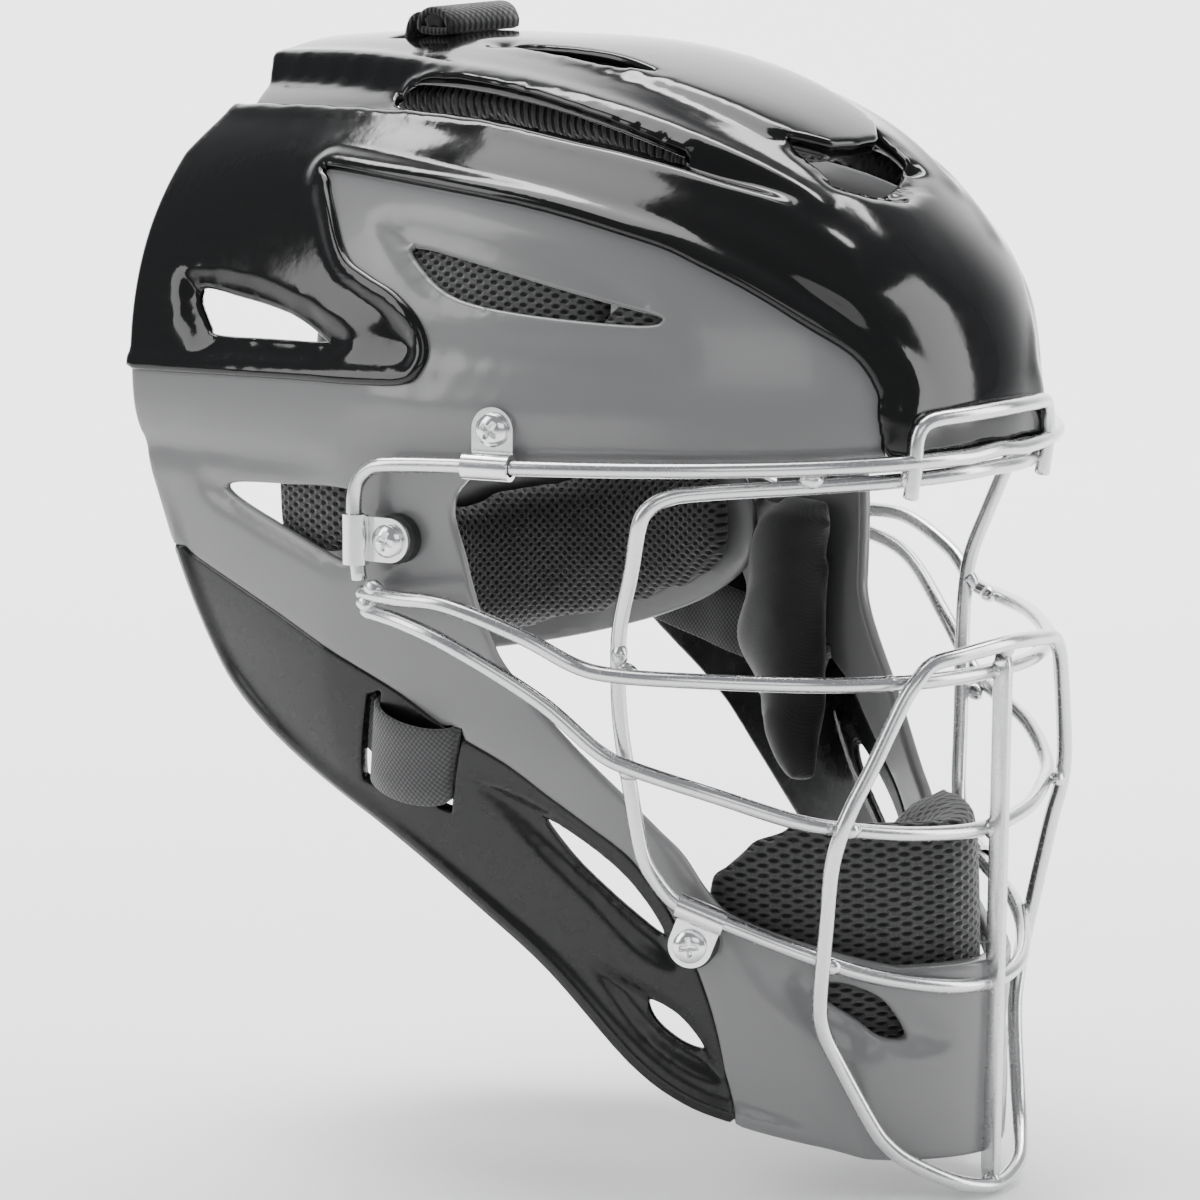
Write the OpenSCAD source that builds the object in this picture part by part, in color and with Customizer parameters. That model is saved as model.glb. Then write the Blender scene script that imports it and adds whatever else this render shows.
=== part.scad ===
// Catcher's mask: hard outer shell, welded wire cage, pads, and a back plate
// held by elastic straps. Millimetres. +Z is up, the face looks along -Y and
// the wearer's right is -X. The origin is on the centre plane, inside the head
// cavity, at the height of the ear clip screws.

/* [Shell] */
// widest part of the shell over the ears
shell_width = 198; // [170:1:230]
// wall of the moulded shell
shell_wall = 4; // [3:0.5:6]
// height of the crown above the brow line
crown_rise = 98; // [80:1:120]
// distance from the middle of the head cavity to the front of the brow
front_reach = 147; // [120:1:170]

/* [Cage] */
// diameter of the cage wire
wire_d = 4.2; // [3:0.1:6]
// gap between the brow and the wire that runs along it
wire_stand_off = 3.6; // [2:0.1:8]
// front to back depth of the flat centre bar
bar_depth = 5; // [3:0.5:9]
// thickness of the flat centre bar
bar_thick = 2.6; // [1.5:0.1:5]

/* [Pads] */
// thickness of the foam pads behind the shell
pad_thick = 13; // [6:1:20]
// gap between a pad and the wall behind it
pad_gap = 0.6; // [0.3:0.1:2]

/* [Back plate] */
// height of the upright tongue above the foot of the back plate
tongue_height = 117; // [80:1:130]
// wall of the back plate
plate_wall = 3; // [2:0.5:5]
// width of the upright tongue of the back plate
tongue_width = 56; // [40:1:80]

/* [Fasteners] */
// diameter of the screw head
screw_head_d = 9; // [7:0.5:12]
// diameter of the screw shank
screw_shank_d = 4; // [3:0.5:5]
// thickness of the bent sheet clips
clip_sheet = 1.1; // [0.8:0.1:2]

/* [Hidden] */
half_w = shell_width / 2;
mid_y = 20;
crown_z = 30;
rear_reach = 230;
crown_power = 2.2;
wire_r = wire_d / 2;
chin_z = -166;
seam = 0.1;
brow_off = wire_stand_off + wire_r;
brow_stand = brow_off - 0.85;
clip_drop = 9.6;
ear_stand = 6.9;
jaw_stand = 9;
tab_face = 3.6;

// half width of the shell, its roundness and the reach of its front, by height
width_by_z = [[-185, 0.77], [-160, 0.78], [-105, 0.80], [-80, 0.86], [-60, 0.94], [-35, 0.99], [-15, 1], [60, 1]];
power_by_z = [[-185, 1.75], [-105, 1.72], [-80, 1.6], [-60, 1.5], [-35, 1.45], [-15, 1.68], [13, 2], [30, 2.2]];
front_by_z = [[-185, 0], [-160, 1], [-126, 3], [-80, 3], [-35, 1], [-15, 0], [13, 0], [30, 1]];

function sgn_pow(v, p) = sign(v) * pow(abs(v), p);
function crown_scale(z, off) = z <= crown_z ? 1 :
    pow(max(0, 1 - pow(min(1, (z - crown_z) / (crown_rise + off)), crown_power)), 1 / crown_power);
function form_power(z) = z > crown_z ? crown_power : lookup(z, power_by_z);
// point on the shell form: z height, a angle from straight ahead, off outward offset
function form_point(z, a, off = 0) =
    let (w = half_w * lookup(z, width_by_z) + off,
         d = cos(a) >= 0 ? front_reach + lookup(z, front_by_z) - 1 + off : rear_reach,
         n = form_power(z),
         s = crown_scale(z, off))
    [w * s * sgn_pow(sin(a), 2 / n), mid_y - d * s * sgn_pow(cos(a), 2 / n), z];

side_angles = concat([for (i = [0:20]) i * 4.5], [96, 102, 108, 115, 122, 130, 139, 148, 158]);
ring_angles = concat([for (i = [len(side_angles) - 1:-1:1]) -side_angles[i]], side_angles);
low_rows = [-160, -140, -120, -105, -92, -80, -70, -60, -48, -35, -25, -15, -4, 6, 14, 22, 30];
crown_steps = 13;

// rows of the form from the bottom to just under the crown
function form_rows(off, bottom) = concat([bottom], low_rows,
    [for (i = [1:crown_steps]) crown_z + (crown_rise + off) * pow(sin(i * 88.5 / crown_steps), 2 / crown_power)]);

module form_solid(off, bottom) {
    rows = form_rows(off, bottom);
    m = len(ring_angles);
    pts = [for (z = rows) each [for (a = ring_angles) form_point(z, a, off)]];
    last = (len(rows) - 1) * m;
    sides = [for (r = [0:len(rows) - 2]) each [for (c = [0:m - 1])
        [r * m + c, (r + 1) * m + c, (r + 1) * m + (c + 1) % m, r * m + (c + 1) % m]]];
    polyhedron(points = pts,
        faces = concat([[for (c = [0:m - 1]) c]], sides, [[for (c = [m - 1:-1:0]) last + c]]), convexity = 6);
}

// hollow wall of the whole shell before it is trimmed, or of a pad layer inside it
module form_layer(outer, inner) {
    difference() {
        form_solid(outer, chin_z - 10);
        form_solid(inner, chin_z - 20);
    }
}

// extrude a side view outline, given as [y, z], across the width
module across(x0, x1) {
    translate([x0, 0, 0]) rotate([90, 0, 90]) linear_extrude(x1 - x0) children();
}

// side view outlines, [y, z]
shell_outline = [[94, 145], [94, 120], [84, 110], [91, 97], [92, 73], [90, 20], [77, -8], [65, -36],
    [49, -53], [13, -79], [-16, -102], [-35, -118], [-56, -141], [-71, -152], [-84, -157],
    [-102, -162], [-116, chin_z], [-150, chin_z], [-150, 145]];
face_outline = [[-170, 26], [-118, 25], [-77, 21], [-30, 19], [-23, 16], [-21, 9], [-24, -3], [-28, -25],
    [-33, -38], [-63, -74], [-71, -83], [-77, -93], [-84, -100], [-106, -109], [-118, -113], [-170, -113]];
black_outline = [[110, 150], [-160, 150], [-160, 10], [-118, 10], [-118, 45], [-113, 53], [-104, 61],
    [-93, 69], [-80, 76], [-65, 82], [-29, 90], [34, 95], [27, 87], [18, 76], [0, 68], [-10, 60],
    [-14, 51], [-8, 43], [38, 41], [110, 38]];
jaw_outline = [[110, -8], [77, -8], [67, -11], [31, -25], [2, -39], [-15, -51], [-39, -68], [-58, -84],
    [-65, -94], [-74, -113], [-81, -141], [-84, -158], [-84, -180], [110, -180]];
side_vent = [[-2, 79], [-40, 72], [-77, 63], [-71, 62], [-27, 65], [-16, 68], [-7, 74]];
rear_vent = [[69, 63], [53, 62], [31, 58], [20, 52], [41, 52], [62, 51]];
ear_vent = [[54, 11], [12, 13], [12, -7], [55, 4]];
upper_slot = [[-36, -76], [-44, -80], [-54, -88.5], [-61.5, -97.5], [-65, -105], [-58, -100], [-49, -91.5], [-42, -84]];
lower_slot = [[-61, -124], [-69, -127.5], [-75, -135.5], [-70, -134], [-63, -128.5]];
chin_vent = [[-103, -118], [-109, -118], [-115, -122], [-119, -132], [-115, -132], [-110, -127], [-104, -122]];
strap_slot_rear = [[4, -42], [7, -43], [13, -67], [10, -68]];
strap_slot_front = [[-18, -51], [-15, -50], [-8, -73], [-11, -74]];

module side_cut(outline, from_x) {
    for (s = [-1, 1]) across(s < 0 ? -120 : from_x, s < 0 ? -from_x : 120) polygon(outline);
}

// top view outlines, [x, y], on the right half
crown_slot_outer = [[-46, 42], [-45, 28], [-47, -2], [-48, -27], [-47, -48], [-45, -62], [-51, -50], [-54, -30],
    [-55, 0], [-54, 30], [-51, 41]];
crown_slot_inner = [[-19.5, 18], [-24, 8], [-26, -10], [-26, -24], [-22.5, -34], [-20.5, -22], [-20, -5]];
crown_scoop = [[4, -85.4], [-10.5, -84], [-19.5, -76.8], [-20, -86], [-17, -91], [-7, -95.5], [4, -97]];

module crown_cut(outline) {
    for (s = [0, 1]) mirror([s, 0, 0]) translate([0, 0, 60]) linear_extrude(100) polygon(outline);
}

module screw_holes() {
    both_sides() {
        upper_frame() hole_form(brow_off - 1);
        ear_frame() hole_form(ear_stand - 1);
        jaw_frame() hole_form(jaw_stand - 1);
    }
}

module hole_form(start) {
    translate([start, 0, clip_drop]) rotate([0, 90, 0]) cylinder(d = screw_shank_d + 0.6, h = 22, $fn = 24);
}

module both_sides() {
    children();
    mirror([1, 0, 0]) children();
}

// the whole moulded wall with every opening cut
module whole_wall() {
    difference() {
        intersection() {
            form_layer(0, -shell_wall);
            across(-120, 120) polygon(shell_outline);
        }
        across(-120, 120) polygon(face_outline);
        side_cut(side_vent, 55);
        side_cut(rear_vent, 60);
        side_cut(ear_vent, 60);
        side_cut(upper_slot, 30);
        side_cut(lower_slot, 30);
        side_cut(chin_vent, 15);
        side_cut(strap_slot_rear, 50);
        side_cut(strap_slot_front, 50);
        crown_cut(crown_slot_outer);
        crown_cut(crown_slot_inner);
        crown_cut(crown_scoop);
        translate([-18, 55.8, 110]) cube([36, 7.2, 30]);
        screw_holes();
    }
}

// A resize by zeros changes no size. It only asks for the result as one mesh.
module as_mesh() {
    resize([0, 0, 0]) union() children();
}

// Cage -------------------------------------------------------------------

function unit(v) = v / max(norm(v), 0.0001);
function spline_at(p, i, t) =
    let (n = len(p),
         a = p[max(i - 1, 0)], b = p[i], c = p[min(i + 1, n - 1)], d = p[min(i + 2, n - 1)])
    0.5 * ((2 * b) + (c - a) * t + (2 * a - 5 * b + 4 * c - d) * t * t + (3 * b - a - 3 * c + d) * t * t * t);
function smooth_path(p, k) = concat([for (i = [0:len(p) - 2]) each [for (j = [0:k - 1]) spline_at(p, i, j / k)]],
    [p[len(p) - 1]]);
function mirror_path(p) = concat(p, [for (i = [len(p) - 2:-1:0]) [-p[i][0], p[i][1], p[i][2]]]);

// round wire through a list of points, the section kept square to the path
module wire(p, r = wire_r, sides = 10) {
    n = len(p);
    dir = [for (i = [0:n - 1]) unit(p[min(i + 1, n - 1)] - p[max(i - 1, 0)])];
    side = [for (i = [0:n - 1]) unit(cross(dir[i], abs(dir[i][2]) > 0.8 ? [0, 1, 0.2] : [0, 0.2, 1]))];
    // carry one reference direction along so the section never twists over
    frame = [for (i = 0, u = side[0]; i < n; i = i + 1,
        u = i < n ? unit(u - dir[min(i, n - 1)] * (u * dir[min(i, n - 1)])) : u) u];
    pts = [for (i = [0:n - 1]) each [for (k = [0:sides - 1])
        let (a = k * 360 / sides, v = cross(dir[i], frame[i])) p[i] + r * (cos(a) * frame[i] + sin(a) * v)]];
    body = [for (i = [0:n - 2]) each [for (k = [0:sides - 1])
        [i * sides + k, i * sides + (k + 1) % sides, (i + 1) * sides + (k + 1) % sides, (i + 1) * sides + k]]];
    polyhedron(points = pts, faces = concat([[for (k = [sides - 1:-1:0]) k]], body,
        [[for (k = [0:sides - 1]) (n - 1) * sides + k]]), convexity = 8);
}

// the wire along the brow follows the shell, then drops in front of each ear
function brow_wire(a) = form_point(24.8 - 2.4 * pow(abs(a) / 80, 3), a, brow_off);
upper_bar_half = concat([[-105.3, 1.4, -9.4], [-105.7, 2.8, 8], [-105.4, 2, 15.5], [-104.8, -3.5, 20.6]],
    [for (a = [-80:6.25:-5]) brow_wire(a)], [[0, -132.6, 25.6]]);
eye_frame_half = [[0, -131.4, 20.6], [-15, -129.6, 20.2], [-32, -121.4, 19.4], [-52, -107.5, 18.8], [-72, -90, 18],
    [-82.5, -80.5, 15.5], [-85, -77, 9], [-82.5, -72.5, -4], [-80.5, -67.5, -18], [-79.5, -66, -30],
    [-78.5, -66, -45], [-76, -67.5, -63], [-73, -69, -80], [-70, -71.5, -88], [-66, -76.5, -95],
    [-59, -86, -99.5], [-49, -104, -107], [-36, -117, -113.5], [-18, -127.5, -118], [0, -130.5, -119.5]];
upper_ring_half = [[-103.6, 2, -13.4], [-105.4, -12, -13.4], [-104.5, -28, -14], [-98, -48, -21], [-91, -61, -28.5], [-87, -72, -30.5],
    [-76, -90, -31.5], [-57, -109.5, -33], [-40, -120.5, -34], [-22, -128, -34.4], [0, -131, -34.4]];
lower_ring_half = [[-103, 1, -18.2], [-105, -14, -20], [-103, -30, -25.5], [-92.5, -50, -39], [-86, -64, -51.5],
    [-82, -73, -56], [-72, -93, -62.5], [-58, -109, -69.5], [-44, -117.6, -73], [-24, -125.6, -76], [0, -129, -77.5]];
chin_loop_half = [[0, -137.5, -26], [-18, -134.5, -27.5], [-28, -131.5, -29], [-33, -130, -33], [-37, -128, -39],
    [-44.5, -124, -55], [-51, -119.8, -70], [-51.6, -117, -80], [-49.5, -112.6, -100], [-47.3, -108.8, -121], [-45.5, -108.5, -128],
    [-41, -111, -138], [-34, -117, -155], [-29.5, -121, -163], [-17, -129.6, -171], [-8, -132.4, -174], [0, -133.4, -175]];
brow_loop_half = [[-30.5, -125.6, 15.2], [-30.5, -127, 24], [-30, -127.4, 31], [-26.5, -129, 35.4], [-14, -133, 36.4], [0, -135, 36.8]];

module ring_wire(half, k = 3) {
    wire(smooth_path(mirror_path(half), k));
}

// a half path that starts and ends on the centre plane becomes one closed loop
module loop_wire(half, k = 3) {
    wire(smooth_path(concat(half, [for (i = [len(half) - 2:-1:0]) [-half[i][0], half[i][1], half[i][2]]]), k));
}

module centre_bar_solid() {
    // flat bar on edge, its back edge against the rings
    hull() {
        translate([-bar_thick / 2, -134.6 - bar_depth / 2, -32]) cube([bar_thick, bar_depth, 1]);
        translate([-bar_thick / 2, -131.8 - bar_depth / 2, -172]) cube([bar_thick, bar_depth, 1]);
    }
}

// Clips ------------------------------------------------------------------

// Sheet clip in its own frame: wire sleeve along Y at the origin, tab rising
// to the screw at [0, 0, drop]; the shell lies toward +X
module clip_form(stand) {
    outer = wire_r + 0.35 + clip_sheet;
    sleeve = 13.5;
    tab_w = 12;
    difference() {
        union() {
            rotate([90, 0, 0]) cylinder(r = outer, h = sleeve, center = true, $fn = 32);
            translate([stand - clip_sheet * 2, -tab_w / 2, 0]) cube([clip_sheet * 2, tab_w, clip_drop]);
            translate([stand - clip_sheet * 2, 0, clip_drop]) rotate([0, 90, 0])
                cylinder(d = tab_w, h = clip_sheet * 2, $fn = 40);
        }
        rotate([90, 0, 0]) cylinder(r = wire_r + 0.3, h = sleeve + 2, center = true, $fn = 32);
        translate([stand - 4, 0, clip_drop]) rotate([0, 90, 0]) cylinder(d = screw_shank_d + 0.4, h = 8, $fn = 24);
    }
}

// Frames of the three clips on the right side: origin on the wire, X toward
// the shell, Y along the wire, Z toward the screw
module upper_frame() {
    translate(brow_wire(-69.3)) rotate([0, 0, 13]) children();
}

module ear_frame() {
    translate([-105.5, 2.4, 1.4]) rotate([0, 0, 7]) rotate([90, 0, 0]) children();
}

module jaw_frame() {
    translate([-62.6, -81.2, -97.2]) rotate([0, 0, 27]) rotate([201, 0, 0]) children();
}

module screw_form(grip) {
    // pan head with a cross recess and a plain shank, pointing along +X
    difference() {
        union() {
            translate([-2.6, 0, 0]) rotate([0, 90, 0]) cylinder(d1 = screw_head_d - 2.6, d2 = screw_head_d, h = 1.3, $fn = 36);
            translate([-1.3, 0, 0]) rotate([0, 90, 0]) cylinder(d = screw_head_d, h = 1.3, $fn = 36);
            rotate([0, 90, 0]) cylinder(d = screw_shank_d - 0.4, h = grip, $fn = 24);
        }
        translate([-3, -2.4, -0.5]) cube([1.6, 4.8, 1]);
        translate([-3, -0.5, -2.4]) cube([1.6, 1, 4.8]);
    }
}

module nut_form() {
    // flanged barrel nut let into the inside of the wall
    difference() {
        union() {
            rotate([0, 90, 0]) cylinder(d = 12, h = 1.2, $fn = 32);
            translate([-3, 0, 0]) rotate([0, 90, 0]) cylinder(d = screw_shank_d + 0.55, h = 3.2, $fn = 24);
        }
        translate([-4, 0, 0]) rotate([0, 90, 0]) cylinder(d = screw_shank_d - 0.3, h = 6, $fn = 24);
    }
}

module spacer_form(thick) {
    difference() {
        rotate([0, 90, 0]) cylinder(d = 13.4, h = thick, $fn = 40);
        translate([-1, 0, 0]) rotate([0, 90, 0]) cylinder(d = screw_shank_d + 0.4, h = thick + 2, $fn = 24);
    }
}

// Pads -------------------------------------------------------------------

forehead_outline = [[-170, 41], [-63, 41.5], [-62.5, 73], [-97, 82], [-170, 82.5]];
side_pad_outline = [[-58, 42], [-8, 42], [10, 28], [10, -6], [44, -9], [46, 30], [40, 38], [15, 44], [14, 70], [6, 84], [-40, 84], [-58, 74]];
jaw_pad_outline = [[22, -7], [24, -30], [15, -52], [0, -72], [-16, -91], [-23, -93], [-29, -80],
    [-29, -60], [-26, -40], [-23, -20], [-19, -7]];
chin_pad_outline = [[-73, -92], [-79, -84], [-92, -76], [-170, -72], [-170, -138], [-88, -138], [-78, -120], [-73, -104]];

// a cushion cut from a layer inside the wall
module cushion(outline, gap, thick) {
    intersection() {
        form_layer(-shell_wall - gap, -shell_wall - gap - thick);
        across(-120, 120) polygon(outline);
    }
}

module one_side(s, from_x) {
    intersection() {
        children();
        translate([s < 0 ? -130 : from_x, -200, -200]) cube([130 - from_x, 400, 400]);
    }
}

// Straps and back plate ----------------------------------------------------

strap_w = 32;
strap_t = 2;

// strip with the given centre line in side view, [y, z]
module strip(line, t) {
    n = len(line);
    nrm = [for (i = [0:n - 1]) let (d = unit(line[min(i + 1, n - 1)] - line[max(i - 1, 0)])) [-d[1], d[0]]];
    polygon(concat([for (i = [0:n - 1]) line[i] + nrm[i] * t / 2], [for (i = [n - 1:-1:0]) line[i] - nrm[i] * t / 2]));
}

crown_strap_line = [[57.6, 132.6], [58.1, 127], [60.8, 121], [66, 120.1], [76, 119.2], [88, 118.1]];
top_strap_line = [[88.8, 118], [93, 116.4], [95.4, 112], [95.2, 102], [91.6, 84], [87.6, 68], [87, 60], [89, 42]];

// plan of the back plate: an oval shell open at the front
plate_half_w = 79;
plate_mid_y = 10;
plate_reach = 86;
plate_power = 2.1;
plate_lean = -0.1;
function plate_point(a, off) = [(plate_half_w + off) * sgn_pow(cos(a), 2 / plate_power),
    plate_mid_y + (plate_reach + off) * sgn_pow(sin(a), 2 / plate_power)];
plate_low = -57;
wing_outline = [[6, -20], [7, -10], [12, -1], [24, 2], [60, 0], [90, -6], [125, -13], [125, -58],
    [96, -57], [70, -54], [46, -48], [27, -41], [15, -34], [8, -27]];

module plate_layer(outer, inner) {
    // lean the upright layer forward toward the crown
    multmatrix([[1, 0, 0, 0], [0, 1, plate_lean, plate_lean * 57], [0, 0, 1, 0], [0, 0, 0, 1]])
        translate([0, 0, -70]) linear_extrude(140) difference() {
            polygon(concat([for (a = [0:6:180]) plate_point(a, outer)], [[-plate_half_w - outer, -10], [plate_half_w + outer, -10]]));
            polygon(concat([for (a = [0:6:180]) plate_point(a, inner)], [[-plate_half_w - inner, -20], [plate_half_w + inner, -20]]));
        }
}

module plate_trim(shrink) {
    union() {
        across(-120, 120) offset(r = -shrink) polygon(wing_outline);
        translate([-tongue_width / 2 + shrink, 60, plate_low + shrink])
            cube([tongue_width - 2 * shrink, 80, tongue_height - 2 * shrink]);
    }
}

// elastic from the rear slot of the jaw to the wing of the plate, right side
elastic_stops = [[-84, 22.6, -45.5], [-82.4, 29, -43], [-79.2, 36, -40], [-75.6, 44, -36.5], [-70, 55, -32]];
elastic_h = 20;
module elastic() {
    for (i = [0:len(elastic_stops) - 2]) hull() {
        elastic_stop(elastic_stops[i]);
        elastic_stop(elastic_stops[i + 1]);
    }
}

module elastic_stop(p) {
    translate(p) cube([1.4, 0.4, elastic_h], center = true);
}

// Sub-parts -----------------------------------------------------------------

module crown_shell() {
    color("#101113") as_mesh() intersection() {
        whole_wall();
        across(-120, 120) offset(delta = -seam) polygon(black_outline);
    }
}

module face_shell() {
    color("#8a8b8d") as_mesh() difference() {
        whole_wall();
        across(-120, 120) polygon(black_outline);
        across(-120, 120) polygon(jaw_outline);
    }
}

module jaw_panel(s) {
    color("#17181a") as_mesh() one_side(s, 0) intersection() {
        whole_wall();
        across(-120, 120) offset(delta = -seam) polygon(jaw_outline);
    }
}

module forehead_pad() { color("#2b2c2f") as_mesh() cushion(forehead_outline, pad_gap, pad_thick); }

module crown_pad() {
    color("#2b2c2f") as_mesh() intersection() {
        form_layer(-shell_wall - pad_gap, -shell_wall - pad_gap - pad_thick - 3);
        translate([-44, -66, 90]) cube([88, 118, 60]);
    }
}

module side_pad(s) { color("#2b2c2f") as_mesh() one_side(s, 40) cushion(side_pad_outline, pad_gap, pad_thick - 3); }

module jaw_pad(s) {
    // the inner face is relieved where the wing of the back plate lies over it
    color("#202124") as_mesh() one_side(s, 10) difference() {
        cushion(jaw_pad_outline, 3.2, 17);
        intersection() {
            plate_layer(2, -40);
            plate_trim(-2);
        }
    }
}

module chin_pad() { color("#2b2c2f") as_mesh() cushion(chin_pad_outline, 2.8, 19.2); }

module upper_bar() { color("#c9cbce") ring_wire(upper_bar_half, 1); }
module eye_frame() { color("#c9cbce") loop_wire(eye_frame_half, 2); }
module upper_ring() { color("#c9cbce") ring_wire(upper_ring_half, 2); }
module lower_ring() { color("#c9cbce") ring_wire(lower_ring_half, 2); }
module chin_loop() { color("#c9cbce") loop_wire(chin_loop_half, 2); }
module brow_loop() { color("#c9cbce") ring_wire(brow_loop_half, 2); }
module centre_bar() { color("#c9cbce") centre_bar_solid(); }

module upper_clips() { color("#b9bbbe") both_sides() upper_frame() clip_form(brow_stand); }
module ear_clips() { color("#b9bbbe") both_sides() ear_frame() clip_form(tab_face); }
module jaw_clips() { color("#b9bbbe") both_sides() jaw_frame() clip_form(tab_face); }

module placed_screw(face, grip) { translate([face - clip_sheet * 2, 0, clip_drop]) screw_form(grip); }

module clip_screws() {
    color("#c4c6c9") both_sides() {
        upper_frame() placed_screw(brow_stand, 6.5);
        ear_frame() placed_screw(tab_face, 11);
        jaw_frame() placed_screw(tab_face, 11.6);
    }
}

module clip_nuts() {
    color("#9a9ca0") both_sides() {
        upper_frame() translate([brow_off + shell_wall + 0.3, 0, clip_drop]) nut_form();
        ear_frame() translate([ear_stand + shell_wall + 1.3, 0, clip_drop]) nut_form();
        jaw_frame() translate([jaw_stand + shell_wall + 0.7, 0, clip_drop]) nut_form();
    }
}

module ear_spacers() { color("#151617") both_sides() ear_frame() translate([tab_face, 0, clip_drop]) spacer_form(ear_stand - tab_face); }
module jaw_spacers() { color("#151617") both_sides() jaw_frame() translate([tab_face, 0, clip_drop]) spacer_form(jaw_stand - tab_face); }

module strap_tab() {
    // folded end of the crown strap standing on the crown
    color("#141516") translate([-strap_w / 2, 0, 0]) rotate([90, 0, 90]) linear_extrude(strap_w)
        polygon([[42.5, 127.8], [43.4, 132.6], [45.6, 134.9], [49, 135.6], [52.4, 134.8], [54.4, 131.8],
            [54.6, 127.4], [48.5, 127.65]]);
}

module crown_strap() {
    color("#1b1c1e") across(-strap_w / 2, strap_w / 2) strip(crown_strap_line, strap_t);
}

module top_strap() {
    color("#1b1c1e") across(-strap_w / 2, strap_w / 2) strip(top_strap_line, strap_t);
}

module strap_slide() {
    // flat slide buckle threaded on the strap just above the plate
    color("#26272a") translate([0, 92.5, 76.4]) rotate([-14, 0, 0]) difference() {
        cube([strap_w + 9, 2.6, 19], center = true);
        translate([0, 0, 0]) cube([strap_w + 1.6, 6, 12.6], center = true);
    }
}

module plate_rivets() {
    // two rivets that hold the strap to the tongue
    color("#9a9ca0") for (x = [-11, 11]) translate([x, 89.2, 51]) rotate([-84, 0, 0]) cylinder(d = 8, h = 1.6, $fn = 28);
}

module strap_loop(s) {
    // the elastic shows on the outside of the jaw between its two slots
    color("#3a3b3e") as_mesh() one_side(s, 40) intersection() {
        form_layer(2.6, 0.5);
        across(-120, 120) polygon([[4, -43], [-15, -52], [-10, -72], [10, -65]]);
    }
}

module side_strap(s) {
    color("#2a2b2d") as_mesh() mirror([s > 0 ? 1 : 0, 0, 0]) elastic();
}

module back_plate() {
    color("#8a8b8d") as_mesh() intersection() {
        plate_layer(0, -plate_wall);
        plate_trim(0);
    }
}

module back_pad() {
    color("#2b2c2f") as_mesh() intersection() {
        plate_layer(-plate_wall - 0.3, -plate_wall - 11);
        plate_trim(3.5);
    }
}

crown_shell();
face_shell();
jaw_panel(-1);  // jaw_panel_right
jaw_panel(1);  // jaw_panel_left
forehead_pad();
crown_pad();
side_pad(-1);  // side_pad_right
side_pad(1);  // side_pad_left
jaw_pad(-1);  // jaw_pad_right
jaw_pad(1);  // jaw_pad_left
chin_pad();
upper_bar();
eye_frame();
upper_ring();
lower_ring();
chin_loop();
brow_loop();
centre_bar();
upper_clips();
ear_clips();
jaw_clips();
clip_screws();
clip_nuts();
ear_spacers();
jaw_spacers();
strap_tab();
crown_strap();
top_strap();
strap_slide();
plate_rivets();
strap_loop(-1);  // strap_loop_right
strap_loop(1);  // strap_loop_left
side_strap(-1);  // side_strap_right
side_strap(1);  // side_strap_left
back_plate();
back_pad();
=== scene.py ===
import math
import bpy
import numpy as np
from mathutils import Matrix, Vector


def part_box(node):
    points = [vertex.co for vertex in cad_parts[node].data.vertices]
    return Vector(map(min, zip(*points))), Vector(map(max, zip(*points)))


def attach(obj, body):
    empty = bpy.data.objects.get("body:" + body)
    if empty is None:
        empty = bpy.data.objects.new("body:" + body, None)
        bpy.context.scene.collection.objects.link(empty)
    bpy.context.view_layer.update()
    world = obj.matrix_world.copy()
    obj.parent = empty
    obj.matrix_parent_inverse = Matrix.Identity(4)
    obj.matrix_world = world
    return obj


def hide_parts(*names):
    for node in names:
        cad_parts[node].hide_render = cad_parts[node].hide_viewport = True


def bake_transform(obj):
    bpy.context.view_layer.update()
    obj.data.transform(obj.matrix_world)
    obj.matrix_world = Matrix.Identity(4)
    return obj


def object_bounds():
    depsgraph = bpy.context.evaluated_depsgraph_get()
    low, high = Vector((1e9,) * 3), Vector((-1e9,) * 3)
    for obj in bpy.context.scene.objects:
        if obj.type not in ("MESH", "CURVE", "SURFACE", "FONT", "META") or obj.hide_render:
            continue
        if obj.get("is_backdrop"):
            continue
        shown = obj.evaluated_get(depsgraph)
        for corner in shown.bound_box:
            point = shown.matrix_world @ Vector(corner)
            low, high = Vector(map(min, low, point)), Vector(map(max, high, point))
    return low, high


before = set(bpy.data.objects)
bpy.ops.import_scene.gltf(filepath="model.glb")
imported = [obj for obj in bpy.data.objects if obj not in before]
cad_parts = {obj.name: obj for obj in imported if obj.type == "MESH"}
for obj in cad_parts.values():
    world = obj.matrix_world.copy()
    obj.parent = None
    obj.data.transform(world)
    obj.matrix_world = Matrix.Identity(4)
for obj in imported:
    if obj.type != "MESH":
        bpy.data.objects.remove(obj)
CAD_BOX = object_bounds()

# Catcher's mask. Shapes are worked out in millimetres in the frame of the model
# (face along -Y, up +Z) and written to Blender in metres.
MM = 0.001

# ------------------------------------------------------------------ base form
# The shell is one smooth form: a rounded oval whose width, squareness and front
# reach change with height, closed by a dome above CROWN_Z.
face_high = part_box("face_shell")[1]
HALF_W = face_high[0] / MM
MID_Y = 20.0
CROWN_Z = 30.0
CROWN_RISE = 98.0
CROWN_POWER = 2.2
FRONT_REACH = 146.0
REAR_REACH = 230.0
WALL = 3.8

WIDTH_BY_Z = [(-185, 0.768), (-160, 0.778), (-126, 0.78), (-105, 0.80), (-80, 0.86), (-60, 0.94),
              (-35, 0.99), (-15, 1), (13, 1), (60, 1)]
POWER_BY_Z = [(-185, 1.75), (-105, 1.72), (-80, 1.6), (-60, 1.5), (-35, 1.45), (-15, 1.68), (13, 2.0),
              (30, 2.2), (60, 2.2)]
FRONT_BY_Z = [(-185, 1), (-160, 2), (-126, 3), (-80, 3), (-60, 2), (-35, 1), (-15, 0), (13, 0), (30, 1),
              (60, 1)]


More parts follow.
